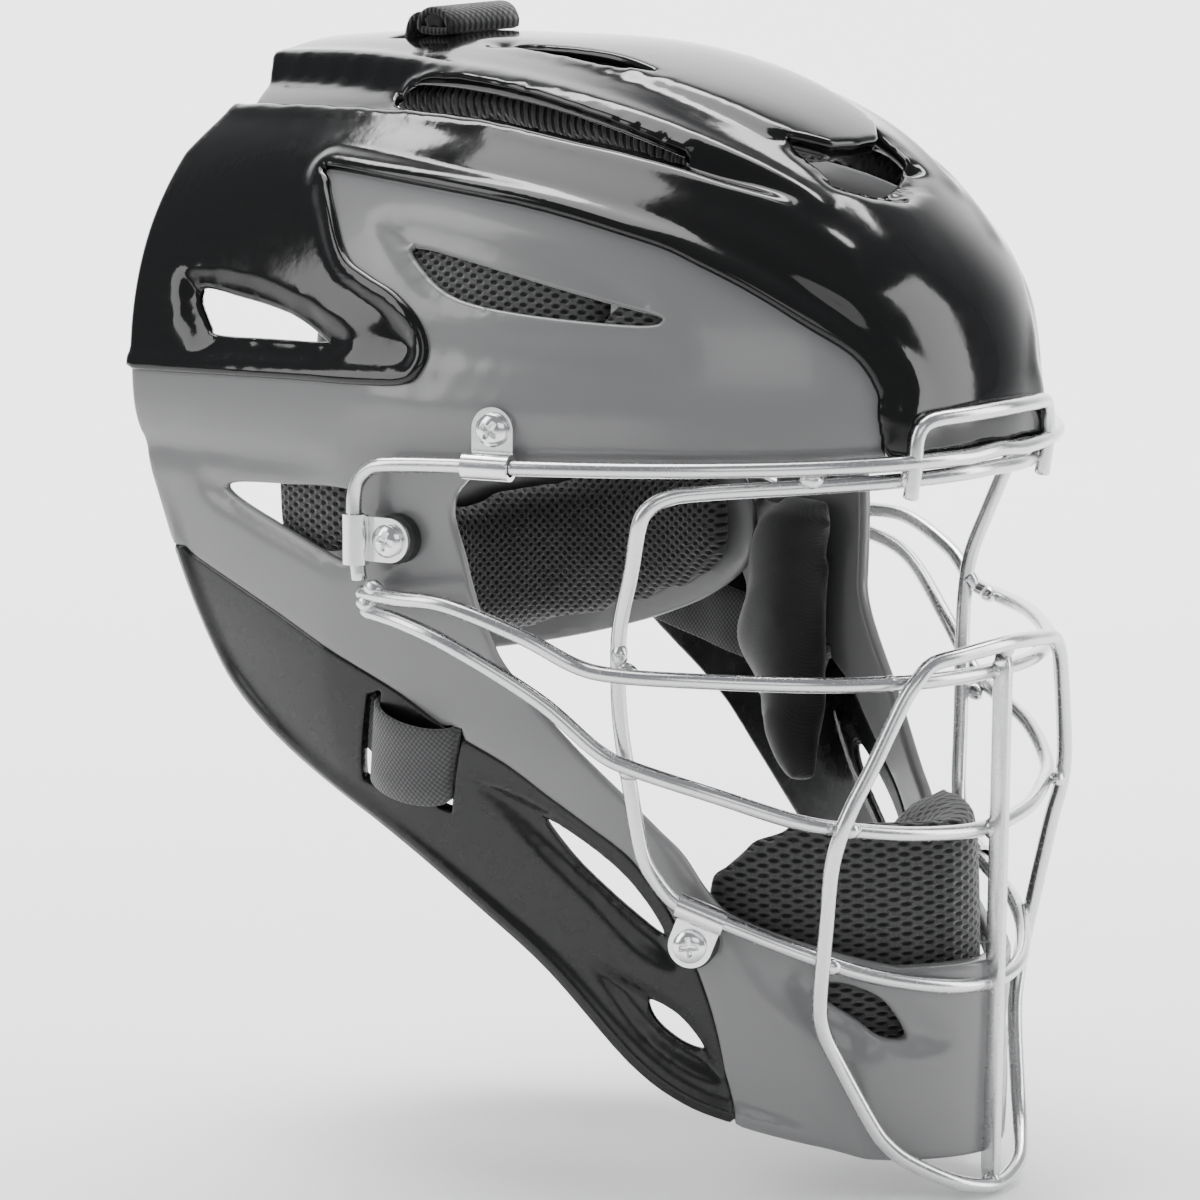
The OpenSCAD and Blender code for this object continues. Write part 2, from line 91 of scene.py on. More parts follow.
def table(z, rows):
    """Smooth curve through rows of (height, value)."""
    knots = np.array([row[0] for row in rows], float)
    values = np.array([row[1] for row in rows], float)
    slopes = np.gradient(values, knots)
    z = np.clip(z, knots[0], knots[-1])
    i = np.clip(np.searchsorted(knots, z) - 1, 0, len(knots) - 2)
    h = knots[i + 1] - knots[i]
    t = (z - knots[i]) / h
    rise = (2 * t**3 - 3 * t**2 + 1) * values[i] + (3 * t**2 - 2 * t**3) * values[i + 1]
    bend = (t**3 - 2 * t**2 + t) * slopes[i] * h + (t**3 - t**2) * slopes[i + 1] * h
    return rise + bend


def form_value(p):
    """Zero on the form, negative inside it."""
    x, y, z = np.abs(p[..., 0]), p[..., 1], p[..., 2]
    width = HALF_W * table(z, WIDTH_BY_Z)
    power = np.where(z > CROWN_Z, CROWN_POWER, table(z, POWER_BY_Z))
    reach = np.where(y < MID_Y, FRONT_REACH + table(z, FRONT_BY_Z), REAR_REACH)
    top = np.clip((z - CROWN_Z) / CROWN_RISE, 0, None) ** CROWN_POWER
    return (x / width) ** power + (np.abs(y - MID_Y) / reach) ** power + top - 1


def gradient(function, p, step=0.05):
    out = np.empty_like(p)
    for axis in range(3):
        shift = np.zeros(3)
        shift[axis] = step
        out[..., axis] = (function(p + shift) - function(p - shift)) / (2 * step)
    return out


def to_form(p, rounds=3, value=form_value):
    for _ in range(rounds):
        slope = gradient(value, p)
        p = p - slope * (value(p) / np.maximum((slope**2).sum(-1), 1e-12))[..., None]
    return p


def form_normal(p, value=form_value):
    slope = gradient(value, p, 0.6)
    return slope / np.maximum(np.linalg.norm(slope, axis=-1, keepdims=True), 1e-12)


# ------------------------------------------------------------ lines and areas
def smooth_step(t):
    t = np.clip(t, 0, 1)
    return t * t * (3 - 2 * t)


def curve_through(points, closed=False, pieces=5, corners=()):
    """Smooth line through the points. Corners are the numbers of the points kept sharp."""
    p = [np.array(q, float) for q in points]
    n = len(p)
    out = []
    spans = n if closed else n - 1
    for i in range(spans):
        b, c = p[i], p[(i + 1) % n]
        a = p[(i - 1) % n] if (closed or i > 0) and i not in corners else b
        d = p[(i + 2) % n] if (closed or i + 2 < n) and (i + 1) % n not in corners else c
        for k in range(pieces):
            t = k / pieces
            out.append(0.5 * (2 * b + (c - a) * t + (2 * a - 5 * b + 4 * c - d) * t * t
                              + (3 * b - a - 3 * c + d) * t**3))
    if not closed:
        out.append(p[-1])
    return np.array(out)


def outline(points, *corners):
    """Smooth closed outline. Corners are the numbers of the points kept sharp."""
    return curve_through(points, closed=True, corners=corners)


def line_distance(p, line, closed=False):
    """Distance from each point to a line, in as many dimensions as the line has."""
    best = np.full(len(p), 1e9)
    ends = np.roll(line, -1, axis=0) if closed else line[1:]
    for a, b in zip(line if closed else line[:-1], ends):
        span = b - a
        t = np.clip(((p - a) @ span) / max(span @ span, 1e-9), 0, 1)
        best = np.minimum(best, ((p - a - t[:, None] * span) ** 2).sum(1))
    return np.sqrt(best)


def is_inside(p, line):
    inside = np.zeros(len(p), bool)
    for a, b in zip(line, np.roll(line, -1, axis=0)):
        crosses = (a[1] > p[:, 1]) != (b[1] > p[:, 1])
        rise = b[1] - a[1] if b[1] != a[1] else 1e-9
        inside ^= crosses & (p[:, 0] < (b[0] - a[0]) * (p[:, 1] - a[1]) / rise + a[0])
    return inside


FAR = 16.0


def depth_in(p, outline):
    """Distance inside a closed outline, negative outside it; only near it is it worked out."""
    low, high = outline.min(0) - FAR, outline.max(0) + FAR
    near = ((p > low) & (p < high)).all(1)
    out = np.full(len(p), -FAR)
    q = p[near]
    if len(q):
        d = line_distance(q, outline, closed=True)
        out[near] = np.where(is_inside(q, outline), d, -d)
    return out


def side_of(p):
    return p[:, 1:3]


def top_of(p):
    return np.stack([np.abs(p[:, 0]), p[:, 1]], 1)


def along_line(p, points, width):
    """Bump of height one along a line on the form; |x| is used, so both sides get it."""
    q = np.stack([np.abs(p[:, 0]), p[:, 1], p[:, 2]], 1)
    line = curve_through(points)
    low, high = line.min(0) - 4 * width, line.max(0) + 4 * width
    near = ((q > low) & (q < high)).all(1)
    out = np.zeros(len(p))
    if near.any():
        d = line_distance(q[near], line)
        out[near] = np.exp(-((d / width) ** 2))
    return out


# Side views, (y, z)
SHELL_EDGE = outline([(94, 150), (94, 121), (84, 110), (91, 97), (92.5, 73), (91.5, 40), (88, 20),
                      (77, -8), (65, -36), (50, -52.5), (13, -79), (-16, -102), (-35, -118), (-56, -141),
                      (-70, -151.5), (-84, -157), (-102, -162.5), (-116, -166), (-150, -166.5),
                      (-170, -166.5), (-170, 150)], 0, 1, 2, 3, 19, 20)
FACE_EDGE = outline([(-190, 26), (-118, 25.5), (-77, 21.5), (-34, 19.5), (-25, 16.5), (-21.5, 9),
                     (-24, -3), (-28, -25), (-34, -39), (-63, -74), (-71, -83), (-77, -93), (-84, -100),
                     (-106, -109), (-118, -113), (-190, -113)], 0, 1, 14, 15)
BLACK_EDGE = outline([(130, 160), (-190, 160), (-190, 5), (-119.5, 5), (-118.5, 36), (-117.5, 44),
                      (-113, 53), (-104, 61), (-93, 69), (-80, 76), (-65, 82), (-29, 90), (30, 95.5),
                      (32, 93.5), (26, 86), (17, 75), (8, 70.5), (-2, 66.5), (-10.5, 60), (-14, 52),
                      (-12.5, 45.5), (-7, 42.5), (10, 41.5), (38, 41), (130, 37.5)], 0, 1, 2, 3, 24)
JAW_EDGE = outline([(130, -7), (77, -7.5), (67, -11), (31, -25), (2, -39), (-15, -51), (-29, -59.5),
                    (-39, -68), (-48, -75.5), (-58, -84), (-65, -94), (-69, -101), (-74, -113),
                    (-78, -126), (-81, -141), (-84, -158), (-85, -190), (130, -190)], 0, 16, 17)
SIDE_VENT = outline([(-2, 79), (-20, 76.5), (-50, 70), (-71, 64.9), (-75.5, 63), (-71, 61.6), (-45, 63),
                     (-27, 65), (-16, 68), (-7, 73.5)])
REAR_VENT = outline([(69, 63), (53, 62), (40, 60), (31, 57.5), (20, 52), (41, 51.5), (60, 51), (64, 53)],
                    4)
EAR_VENT = outline([(53, 11), (30, 12.5), (13, 13), (12, 10), (12, -5), (14, -6.5), (30, -1), (53, 7.5)])
UPPER_SLOT = outline([(-37, -76), (-44, -79.7), (-55, -88.7), (-62, -98), (-65.3, -105), (-59, -100.5),
                      (-49, -91.5), (-42, -84)])
LOWER_SLOT = outline([(-62, -124), (-69, -127.5), (-75, -135.5), (-70, -134.3), (-63.5, -129)])
CHIN_VENT = outline([(-103, -118), (-109, -118), (-115, -122), (-119, -132), (-115, -132), (-110, -127),
                     (-104, -122)])
STRAP_SLOT_REAR = outline([(4, -42), (7, -43), (13, -67), (10, -68)], 0, 1, 2, 3)
STRAP_SLOT_FRONT = outline([(-18, -51), (-15, -50), (-8, -73), (-11, -74)], 0, 1, 2, 3)
SIDE_OPENINGS = [SIDE_VENT, REAR_VENT, EAR_VENT, UPPER_SLOT, LOWER_SLOT, CHIN_VENT, STRAP_SLOT_REAR,
                 STRAP_SLOT_FRONT]

# Top views, (distance from the middle, y), on the crown
CROWN_SLOT_OUTER = outline([(46, 36), (45, 24), (47, -2), (48, -27), (47, -48), (45, -62), (51, -50),
                            (54, -30), (55, 0), (54, 24), (51, 35)], 5)
CROWN_SLOT_INNER = outline([(19.5, 18), (24, 8), (26, -10), (26, -24), (22.5, -34), (20.5, -22),
                            (20, -5)], 0, 4)
CROWN_SCOOP = outline([(-4, -85.4), (10.5, -84), (19.5, -76.8), (20, -86), (17, -91), (7, -95.5),
                       (-4, -97)], 0, 1, 2, 6)
STRAP_GATE = np.array([(-25.0, 56.2), (17.0, 56.2), (17.0, 62.6), (-25.0, 62.6)])
VALLEY = outline([(30, 99), (36, 58), (41, 29), (44, 2), (45, -23), (44, -44), (41, -64), (36, -82),
                  (31, -94), (36, -91), (46, -77), (51, -65), (56, -49), (60, -28), (61, 2), (61, 34),
                  (60, 62), (58, 99)], 0, 8, 17)
INNER_RECESS = outline([(15, 30), (22, 22), (27.5, -5), (27.5, -22), (24, -39), (20.5, -28), (18.5, -10),
                        (17, 12)], 0, 4)
DOME = outline([(-4, 48), (16, 44), (25, 28), (29, -5), (29, -30), (27, -53), (23.5, -73.5), (11, -84.2),
                (-4, -85.8)], 0, 6, 7, 8)
SCOOP = outline([(-4, -86.6), (11, -85.2), (22.5, -76.4), (23, -84), (21.5, -94), (10, -100.5),
                 (-4, -104)], 0, 1, 2, 4, 6)

SIDE_VENT_RECESS = outline([(15, 88), (-9, 86.5), (-31, 83), (-60, 77), (-84, 62), (-71, 59.5),
                            (-40, 60.5), (-20, 62), (-8, 66), (2, 74)], 0, 4)
REAR_VENT_RECESS = outline([(77, 67), (62, 68.5), (44, 67), (22, 60.5), (8, 52), (22, 47), (63, 45.5),
                            (71, 52)], 0, 4, 6)
EAR_VENT_RECESS = outline([(66, 13.5), (30, 16), (9, 16), (8, 10), (9, -10), (14, -10), (62, 6)], 0)
UPPER_SLOT_RECESS = outline([(-14, -62), (-30, -66), (-45, -75), (-58, -87), (-68, -101), (-70, -114),
                             (-60, -112), (-46, -98), (-30, -82)], 0)
LOWER_SLOT_RECESS = outline([(-44, -112), (-60, -118), (-74, -128), (-81, -144), (-72, -143),
                             (-58, -132)], 0)
CHIN_VENT_RECESS = outline([(-93, -113), (-102, -112), (-112, -114), (-120, -121), (-127, -134),
                            (-118, -137), (-106, -134), (-97, -125)], 0)


def wall_room(p):
    """How far a point is from the nearest edge or opening of the moulded wall."""
    room = np.minimum(signed_far(side_of(p), SHELL_EDGE), -signed_far(side_of(p), FACE_EDGE))
    for opening in SIDE_OPENINGS:
        room = np.minimum(room, -depth_in(side_of(p), opening))
    for opening in (CROWN_SLOT_OUTER, CROWN_SLOT_INNER, CROWN_SCOOP, STRAP_GATE):
        cut = -depth_in(top_of(p), opening)
        room = np.where(p[:, 2] > 60, np.minimum(room, cut), room)
    return room


def signed_far(p, outline):
    """Depth inside a large outline, held to FAR either way."""
    d = np.minimum(line_distance(p, outline, closed=True), FAR)
    return np.where(is_inside(p, outline), d, -d)


def relief(p):
    """Height of the moulded features above the base form."""
    side, top = side_of(p), top_of(p)
    x, y, z = np.abs(p[:, 0]), p[:, 1], p[:, 2]
    on_crown = smooth_step((z - 55) / 15)
    h = np.zeros(len(p))
    # crown: two long valleys, the panel over the middle and the scoop in front of it
    h -= 6.0 * smooth_step(depth_in(top, VALLEY) / 5.0) * on_crown
    h -= 4.0 * smooth_step(depth_in(top, INNER_RECESS) / 4.0) * on_crown
    h += 1.7 * smooth_step((depth_in(top, DOME) + 0.6) / 2.4) * on_crown * smooth_step((30 - y) / 60)
    h -= 6.0 * smooth_step((depth_in(top, SCOOP) + 0.3) / 5.0) * on_crown
    h += 1.3 * along_line(p, [(32, 92, 121), (36, 58, 122), (41, 29, 121), (44, 2, 120), (45, -23, 116),
                              (44, -44, 111), (41, -64, 105),
                              (36, -82, 98), (31, -94, 91)], 4.2)
    h += 0.9 * along_line(p, [(58, 90, 109), (60, 62, 110), (61, 34, 111), (61, 2, 110), (60, -28, 107),
                              (56, -49, 103), (51, -65, 100),
                              (46, -77, 95), (40, -91, 89), (33, -105, 77)], 3.6)
    # forehead: the middle panel stands proud between two creases
    half = np.interp(z, [20, 37, 45, 55, 65, 73, 90], [34, 34, 31.5, 36, 43, 50, 62])
    front = smooth_step((-70 - y) / 15)
    h += 2.4 * smooth_step((half - x) / 4.5) * front * smooth_step((92 - z) / 30)
    # sides: vents sit in shallow recesses, and low creases run along the temple
    h -= 2.6 * smooth_step(depth_in(side, SIDE_VENT_RECESS) / 5.0)
    h -= 2.6 * smooth_step(depth_in(side, REAR_VENT_RECESS) / 3.6)
    h -= 1.5 * smooth_step(depth_in(side, EAR_VENT_RECESS) / 3.0)
    temple = smooth_step((18 - y) / 25) * smooth_step((y + 88) / 20)
    h -= 1.5 * smooth_step((z - 47.5) / 3.5) * (1 - smooth_step((z - 53) / 9)) * temple
    h += 1.2 * smooth_step((43.5 - z) / 3.5) * smooth_step((z - 25) / 16) * temple
    rear = smooth_step((y - 12) / 12)
    h -= 1.6 * smooth_step((23.5 - z) / 3.0) * rear * smooth_step((z - 12) / 8)
    # jaw: hollows round the slots and a rolled rim along the lower edge
    h -= 2.6 * smooth_step(depth_in(side, UPPER_SLOT_RECESS) / 6.0)
    h -= 2.4 * smooth_step(depth_in(side, LOWER_SLOT_RECESS) / 4.5)
    h -= 2.2 * smooth_step(depth_in(side, CHIN_VENT_RECESS) / 3.5)
    h -= 0.9 * along_line(p, [(40, -100, -131), (31, -111, -136), (23, -118, -141), (10, -125, -145),
                              (0, -127, -146)], 1.6)
    h -= 0.9 * along_line(p, [(38, -100, -137), (31, -109, -141), (22, -117, -145), (10, -124, -149),
                              (0, -127, -150)], 1.6)
    h += 0.8 * along_line(p, [(53, -80, -104), (49, -86, -117), (43, -96, -129), (35, -106, -135)], 2.4)
    return h


def rim_roll(p):
    """The lower edge of the jaw is rolled outward into a slim bead."""
    room = signed_far(side_of(p), SHELL_EDGE)
    low = smooth_step((10 - p[:, 2]) / 20) * smooth_step((p[:, 1] + 110) / 25)
    return 1.3 * np.exp(-(((room - 3.0) / 2.2) ** 2)) * low


# ------------------------------------------------------------- mesh of the form
def form_skin(step):
    """Even triangle mesh over the form, by surface nets on a grid."""
    low = np.array([-104.0, -134.0, -172.0])
    high = np.array([104.0, 100.0, 134.0])
    half = math.ceil(high[0] / step)
    xs = np.arange(-half, half + 1) * step
    ys = np.arange(low[1], high[1] + step, step)
    zs = np.arange(low[2], high[2] + step, step)
    grid = np.stack(np.meshgrid(xs, ys, zs, indexing="ij"), -1)
    value = form_value(grid)
    shape = np.array(value.shape) - 1
    total = np.zeros((*shape, 3), np.float32)
    count = np.zeros(shape, np.float32)
    crossings = []
    for axis in range(3):
        first = [slice(None)] * 3
        second = [slice(None)] * 3
        first[axis] = slice(0, -1)
        second[axis] = slice(1, None)
        a, b = value[tuple(first)], value[tuple(second)]
        hit = np.argwhere((a < 0) != (b < 0))
        va, vb = a[tuple(hit.T)], b[tuple(hit.T)]
        point = grid[tuple(hit.T)].copy()
        point[:, axis] += step * va / (va - vb)
        crossings.append((axis, hit, va < 0))
        others = [k for k in range(3) if k != axis]
        for du in (0, -1):
            for dv in (0, -1):
                cell = hit.copy()
                cell[:, others[0]] += du
                cell[:, others[1]] += dv
                good = ((cell >= 0) & (cell < shape)).all(1)
                where = tuple(cell[good].T)
                np.add.at(total, where, point[good])
                np.add.at(count, where, 1)
    index = np.full(shape, -1, np.int64)
    active = np.argwhere(count > 0)
    index[tuple(active.T)] = np.arange(len(active))
    points = (total[tuple(active.T)] / count[tuple(active.T)][:, None]).astype(float)
    quads = []
    for axis, hit, inside_first in crossings:
        u, v = [k for k in range(3) if k != axis]
        good = (hit[:, u] > 0) & (hit[:, v] > 0) & (hit[:, u] < shape[u]) & (hit[:, v] < shape[v])
        hit, flip = hit[good], inside_first[good]
        corners = []
        for du, dv in ((0, 0), (-1, 0), (-1, -1), (0, -1)):
            cell = hit.copy()
            cell[:, u] += du
            cell[:, v] += dv
            corners.append(index[tuple(cell.T)])
        quad = np.stack(corners, 1)
        turn = flip if axis != 1 else ~flip
        quad[~turn] = quad[~turn][:, ::-1]
        quads.append(quad)
    quads = np.concatenate(quads)
    quads = quads[(quads >= 0).all(1)]
    points = to_form(points)
    for _ in range(3):
        total = np.zeros_like(points)
        count = np.zeros(len(points))
        for k in range(4):
            a, b = quads[:, k], quads[:, (k + 1) % 4]
            np.add.at(total, a, points[b])
            np.add.at(count, a, 1)
            np.add.at(total, b, points[a])
            np.add.at(count, b, 1)
        inner = count >= 7
        points[inner] += 0.6 * (total[inner] / count[inner][:, None] - points[inner])
        points = to_form(points, 1)
    a, b, c, d = (points[quads[:, k]] for k in range(4))
    short = ((a - c) ** 2).sum(1) <= ((b - d) ** 2).sum(1)
    one = np.where(short[:, None], quads[:, [0, 1, 2]], quads[:, [0, 1, 3]])
    two = np.where(short[:, None], quads[:, [0, 2, 3]], quads[:, [1, 2, 3]])
    return points, np.concatenate([one, two])


def clip(points, faces, room, step, value=form_value):
    """Part of a mesh on the form where room() is above zero, with its edge exactly on zero."""
    s = room(points)
    touched = (s > -3 * step)[faces].any(1)
    used = np.unique(faces[touched])
    number = np.full(len(points), -1)
    number[used] = np.arange(len(used))
    points, faces, s = points[used].copy(), number[faces[touched]], s[used]
    near = np.abs(s) < 0.42 * step
    q = points[near]
    for _ in range(2):
        gap = room(q)
        normal = form_normal(q, value)
        slope = gradient(room, q, 0.15)
        slope -= normal * (slope * normal).sum(1)[:, None]
        size = (slope**2).sum(1)
        move = slope * np.where(size > 0.2, gap / np.maximum(size, 0.2), 0)[:, None]
        length = np.linalg.norm(move, axis=1)
        move *= np.minimum(1, 0.5 * step / np.maximum(length, 1e-9))[:, None]
        q = to_form(q - move, 1, value)
    points[near] = q
    s[near] = room(q)
    s[near & (np.abs(s) < 0.12 * step)] = 0.0
    keep = (s[faces] >= 0).sum(1)
    some = (s[faces] > 0).any(1)
    whole = faces[(keep == 3) & some]
    edge_point = {}
    extra = []

    def crossing(i, j):
        key = (i, j) if i < j else (j, i)
        if key not in edge_point:
            t = s[i] / (s[i] - s[j])
            edge_point[key] = len(points) + len(extra)
            extra.append(points[i] + t * (points[j] - points[i]))
        return edge_point[key]

    cut = []
    for face in faces[(keep < 3) & some]:
        loop = []
        for k in range(3):
            i, j = int(face[k]), int(face[(k + 1) % 3])
            if s[i] >= 0:
                loop.append(i)
            if (s[i] > 0 and s[j] < 0) or (s[i] < 0 and s[j] > 0):
                loop.append(crossing(i, j))
        for k in range(1, len(loop) - 1):
            if len({loop[0], loop[k], loop[k + 1]}) == 3:
                cut.append((loop[0], loop[k], loop[k + 1]))
    if extra:
        points = np.concatenate([points, to_form(np.array(extra), 2, value)])
    if cut:
        whole = np.concatenate([whole, np.array(cut)])
    used = np.unique(whole)
    number = np.full(len(points), -1)
    number[used] = np.arange(len(used))
    return points[used], number[whole]


def open_edges(faces):
    """Directed edges that belong to one face only."""
    edges = np.concatenate([faces[:, [0, 1]], faces[:, [1, 2]], faces[:, [2, 0]]])
    n = int(faces.max()) + 1
    key = edges[:, 0] * n + edges[:, 1]
    back = edges[:, 1] * n + edges[:, 0]
    return edges[~np.isin(key, back)]


def thick_mesh(points, faces, outer, inner, roundness, value=form_value):
    """Solid between two offsets of a mesh on the form. Its edge is a rounded rim."""
    normal = form_normal(points, value)
    top = points + normal * outer[:, None]
    under = points + normal * inner[:, None]
    n = len(points)
    edges = open_edges(faces)
    out_dir = np.zeros_like(points)
    for a, b in ((0, 1), (1, 0)):
        along = points[edges[:, 1]] - points[edges[:, 0]]
        away = np.cross(along, normal[edges[:, a]])
        np.add.at(out_dir, edges[:, a], away / np.maximum(np.linalg.norm(away, axis=1), 1e-9)[:, None])
    rim = np.unique(edges)
    away = out_dir[rim]
    away /= np.maximum(np.linalg.norm(away, axis=1), 1e-9)[:, None]
    radius = np.minimum(roundness, (outer[rim] - inner[rim]) / 2)[:, None]
    rows = []
    turns = (0.34, 0.67, 1.0)
    for t in turns:
        a = t * math.pi / 2
        rows.append(top[rim] + away * radius * math.sin(a) - normal[rim] * radius * (1 - math.cos(a)))
    for t in reversed(turns):
        a = t * math.pi / 2
        rows.append(under[rim] + away * radius * math.sin(a) + normal[rim] * radius * (1 - math.cos(a)))
    all_points = np.concatenate([top, under] + rows)
    place = np.full(n, -1)
    place[rim] = np.arange(len(rim))
    chain = [np.arange(n)]
    for k in range(len(rows)):
        chain.append(np.where(place >= 0, 2 * n + k * len(rim) + place, -1))
    chain.append(np.arange(n) + n)
    sides = []
    for a, b in zip(chain[:-1], chain[1:]):
        sides.append(np.stack([a[edges[:, 1]], a[edges[:, 0]], b[edges[:, 0]], b[edges[:, 1]]], 1))
    return all_points, [faces, faces[:, ::-1] + n] + sides


def new_mesh(name, points, face_sets, smooth=True):
    """Blender object from points in millimetres and arrays of triangles or quads."""
    mesh = bpy.data.meshes.new(name)
    loops = np.concatenate([f.reshape(-1) for f in face_sets if len(f)])
    sizes = np.concatenate([np.full(len(f), f.shape[1]) for f in face_sets if len(f)])
    starts = np.concatenate([[0], np.cumsum(sizes)[:-1]])
    mesh.vertices.add(len(points))
    mesh.vertices.foreach_set("co", (np.asarray(points) * MM).astype(np.float32).ravel())
    mesh.loops.add(len(loops))
    mesh.loops.foreach_set("vertex_index", loops.astype(np.int32))
    mesh.polygons.add(len(sizes))
    mesh.polygons.foreach_set("loop_start", starts.astype(np.int32))
    mesh.polygons.foreach_set("loop_total", sizes.astype(np.int32))
    mesh.update(calc_edges=True)
    mesh.validate()
    mesh.polygons.foreach_set("use_smooth", np.full(len(mesh.polygons), smooth))
    obj = bpy.data.objects.new(name, mesh)
    bpy.context.collection.objects.link(obj)
    return obj


# ------------------------------------------------------------------- materials
def node_tree(name):
    mat = bpy.data.materials.new(name)
    mat.use_nodes = True
    tree = mat.node_tree
    return mat, tree, tree.nodes["Principled BSDF"]


def add(tree, kind, **settings):
    node = tree.nodes.new(kind)
    for key, value in settings.items():
        setattr(node, key, value)
    return node


def math_node(tree, operation, a, b=None):
    node = add(tree, "ShaderNodeMath", operation=operation)
    for socket, value in zip(node.inputs, (a, b)):
        if value is None:
            continue
        if isinstance(value, (int, float)):
            socket.default_value = value
        else:
            tree.links.new(value, socket)
    return node.outputs[0]


def noise(tree, scale, detail=3.0, vector=None):
    node = add(tree, "ShaderNodeTexNoise")
    node.inputs["Scale"].default_value = scale
    node.inputs["Detail"].default_value = detail
    if vector is None:
        vector = add(tree, "ShaderNodeTexCoord").outputs["Object"]
    tree.links.new(vector, node.inputs["Vector"])
    return node.outputs["Fac"]


def spread(tree, factor, low, high, start=0.3, end=0.7):
    """Factor mapped to a range, as a number."""
    node = add(tree, "ShaderNodeMapRange")
    tree.links.new(factor, node.inputs["Value"])
    node.inputs["From Min"].default_value = start
    node.inputs["From Max"].default_value = end
    node.inputs["To Min"].default_value = low
    node.inputs["To Max"].default_value = high
    return node.outputs["Result"]


def tint(tree, factor, dark, light):
    ramp = add(tree, "ShaderNodeValToRGB")
    ramp.color_ramp.elements[0].color = (*dark, 1)
    ramp.color_ramp.elements[1].color = (*light, 1)
    tree.links.new(factor, ramp.inputs["Fac"])
    return ramp.outputs["Color"]


def bump(tree, shader, height, distance, strength=1.0):
    node = add(tree, "ShaderNodeBump")
    node.inputs["Strength"].default_value = strength
    node.inputs["Distance"].default_value = distance
    tree.links.new(height, node.inputs["Height"])
    tree.links.new(node.outputs["Normal"], shader.inputs["Normal"])


def grey(value):
    return (value, value * 1.002, value * 1.006)


def moulded(name, shade, rough, coat=0.0, peel=0.00002, vary=0.05, gloss=0.5, mottling=0.06):
    """Moulded plastic or paint: faint mottling, fine scuffs and a little orange peel."""
    mat, tree, shader = node_tree(name)
    mottle = noise(tree, 24.0, 4.0)
    tree.links.new(tint(tree, mottle, grey(shade * (1 - mottling)), grey(shade * (1 + mottling))),
                   shader.inputs["Base Color"])
    scuff = noise(tree, 210.0, 6.0)
    tree.links.new(spread(tree, scuff, rough, rough + vary), shader.inputs["Roughness"])
    shader.inputs["Coat Weight"].default_value = coat
    shader.inputs["Coat Roughness"].default_value = 0.04
    shader.inputs["Specular IOR Level"].default_value = gloss
    bump(tree, shader, noise(tree, 330.0, 2.0), peel)
    return mat


def metal(name, shade, rough, vary, grain=900.0):
    """Plated steel: fine drawn grain in the roughness and a soft unevenness."""
    mat, tree, shader = node_tree(name)
    shader.inputs["Metallic"].default_value = 1.0
    tree.links.new(tint(tree, noise(tree, 60.0), grey(shade * 0.9), grey(shade)),
                   shader.inputs["Base Color"])
    tree.links.new(spread(tree, noise(tree, grain, 5.0), rough, rough + vary), shader.inputs["Roughness"])
    bump(tree, shader, noise(tree, 240.0, 3.0), 0.00003)
    return mat


def wrap_vector(tree, pitch_u, pitch_v, flat=False):
    """Fabric coordinates that follow a pad: round the head and up, or flat from above."""
    place = add(tree, "ShaderNodeTexCoord").outputs["Object"]
    parts = add(tree, "ShaderNodeSeparateXYZ")
    tree.links.new(place, parts.inputs[0])
    x, y, z = parts.outputs
    if flat:
        u, v = x, y
    else:
        ahead = math_node(tree, "SUBTRACT", MID_Y * MM, y)
        turn = math_node(tree, "ARCTAN2", x, ahead)
        u, v = math_node(tree, "MULTIPLY", turn, 0.088), z
    join = add(tree, "ShaderNodeCombineXYZ")
    tree.links.new(math_node(tree, "DIVIDE", u, pitch_u), join.inputs[0])
    tree.links.new(math_node(tree, "DIVIDE", v, pitch_v), join.inputs[1])
    return join.outputs[0]


def cell_distance(tree, vector, offset):
    """Distance from the middle of the cell of a unit grid that is shifted by offset."""
    moved = add(tree, "ShaderNodeVectorMath", operation="ADD")
    tree.links.new(vector, moved.inputs[0])
    moved.inputs[1].default_value = (offset, offset, 0)
    whole = add(tree, "ShaderNodeVectorMath", operation="FRACTION")
    tree.links.new(moved.outputs[0], whole.inputs[0])
    centred = add(tree, "ShaderNodeVectorMath", operation="SUBTRACT")
    tree.links.new(whole.outputs[0], centred.inputs[0])
    centred.inputs[1].default_value = (0.5, 0.5, 0)
    size = add(tree, "ShaderNodeVectorMath", operation="LENGTH")
    tree.links.new(centred.outputs[0], size.inputs[0])
    return size.outputs["Value"]


def spacer_mesh(name, flat=False):
    """Air mesh: staggered oval holes between thick knitted yarns; the holes are painted near-black as
    painted shade.
    """
    mat, tree, shader = node_tree(name)
    vector = wrap_vector(tree, 0.0037, 0.0027, flat)
    near = math_node(tree, "MINIMUM", cell_distance(tree, vector, 0.0), cell_distance(tree, vector, 0.5))
    yarn = spread(tree, near, 0.0, 1.0, 0.16, 0.30)
    fuzz = noise(tree, 1400.0, 4.0)
    shade = math_node(tree, "MULTIPLY", yarn, spread(tree, fuzz, 0.65, 1.0))
    # colour: yarn tone with fibre fuzz, and near-black in the holes, which is painted shade inside them
    tree.links.new(tint(tree, shade, grey(0.003), grey(0.075)), shader.inputs["Base Color"])
    shader.inputs["Roughness"].default_value = 0.85
    shader.inputs["Sheen Weight"].default_value = 0.35
    shader.inputs["Sheen Roughness"].default_value = 0.4
    shader.inputs["Specular IOR Level"].default_value = 0.25
    bump(tree, shader, math_node(tree, "ADD", yarn, math_node(tree, "MULTIPLY", fuzz, 0.3)), 0.0007)
    return mat


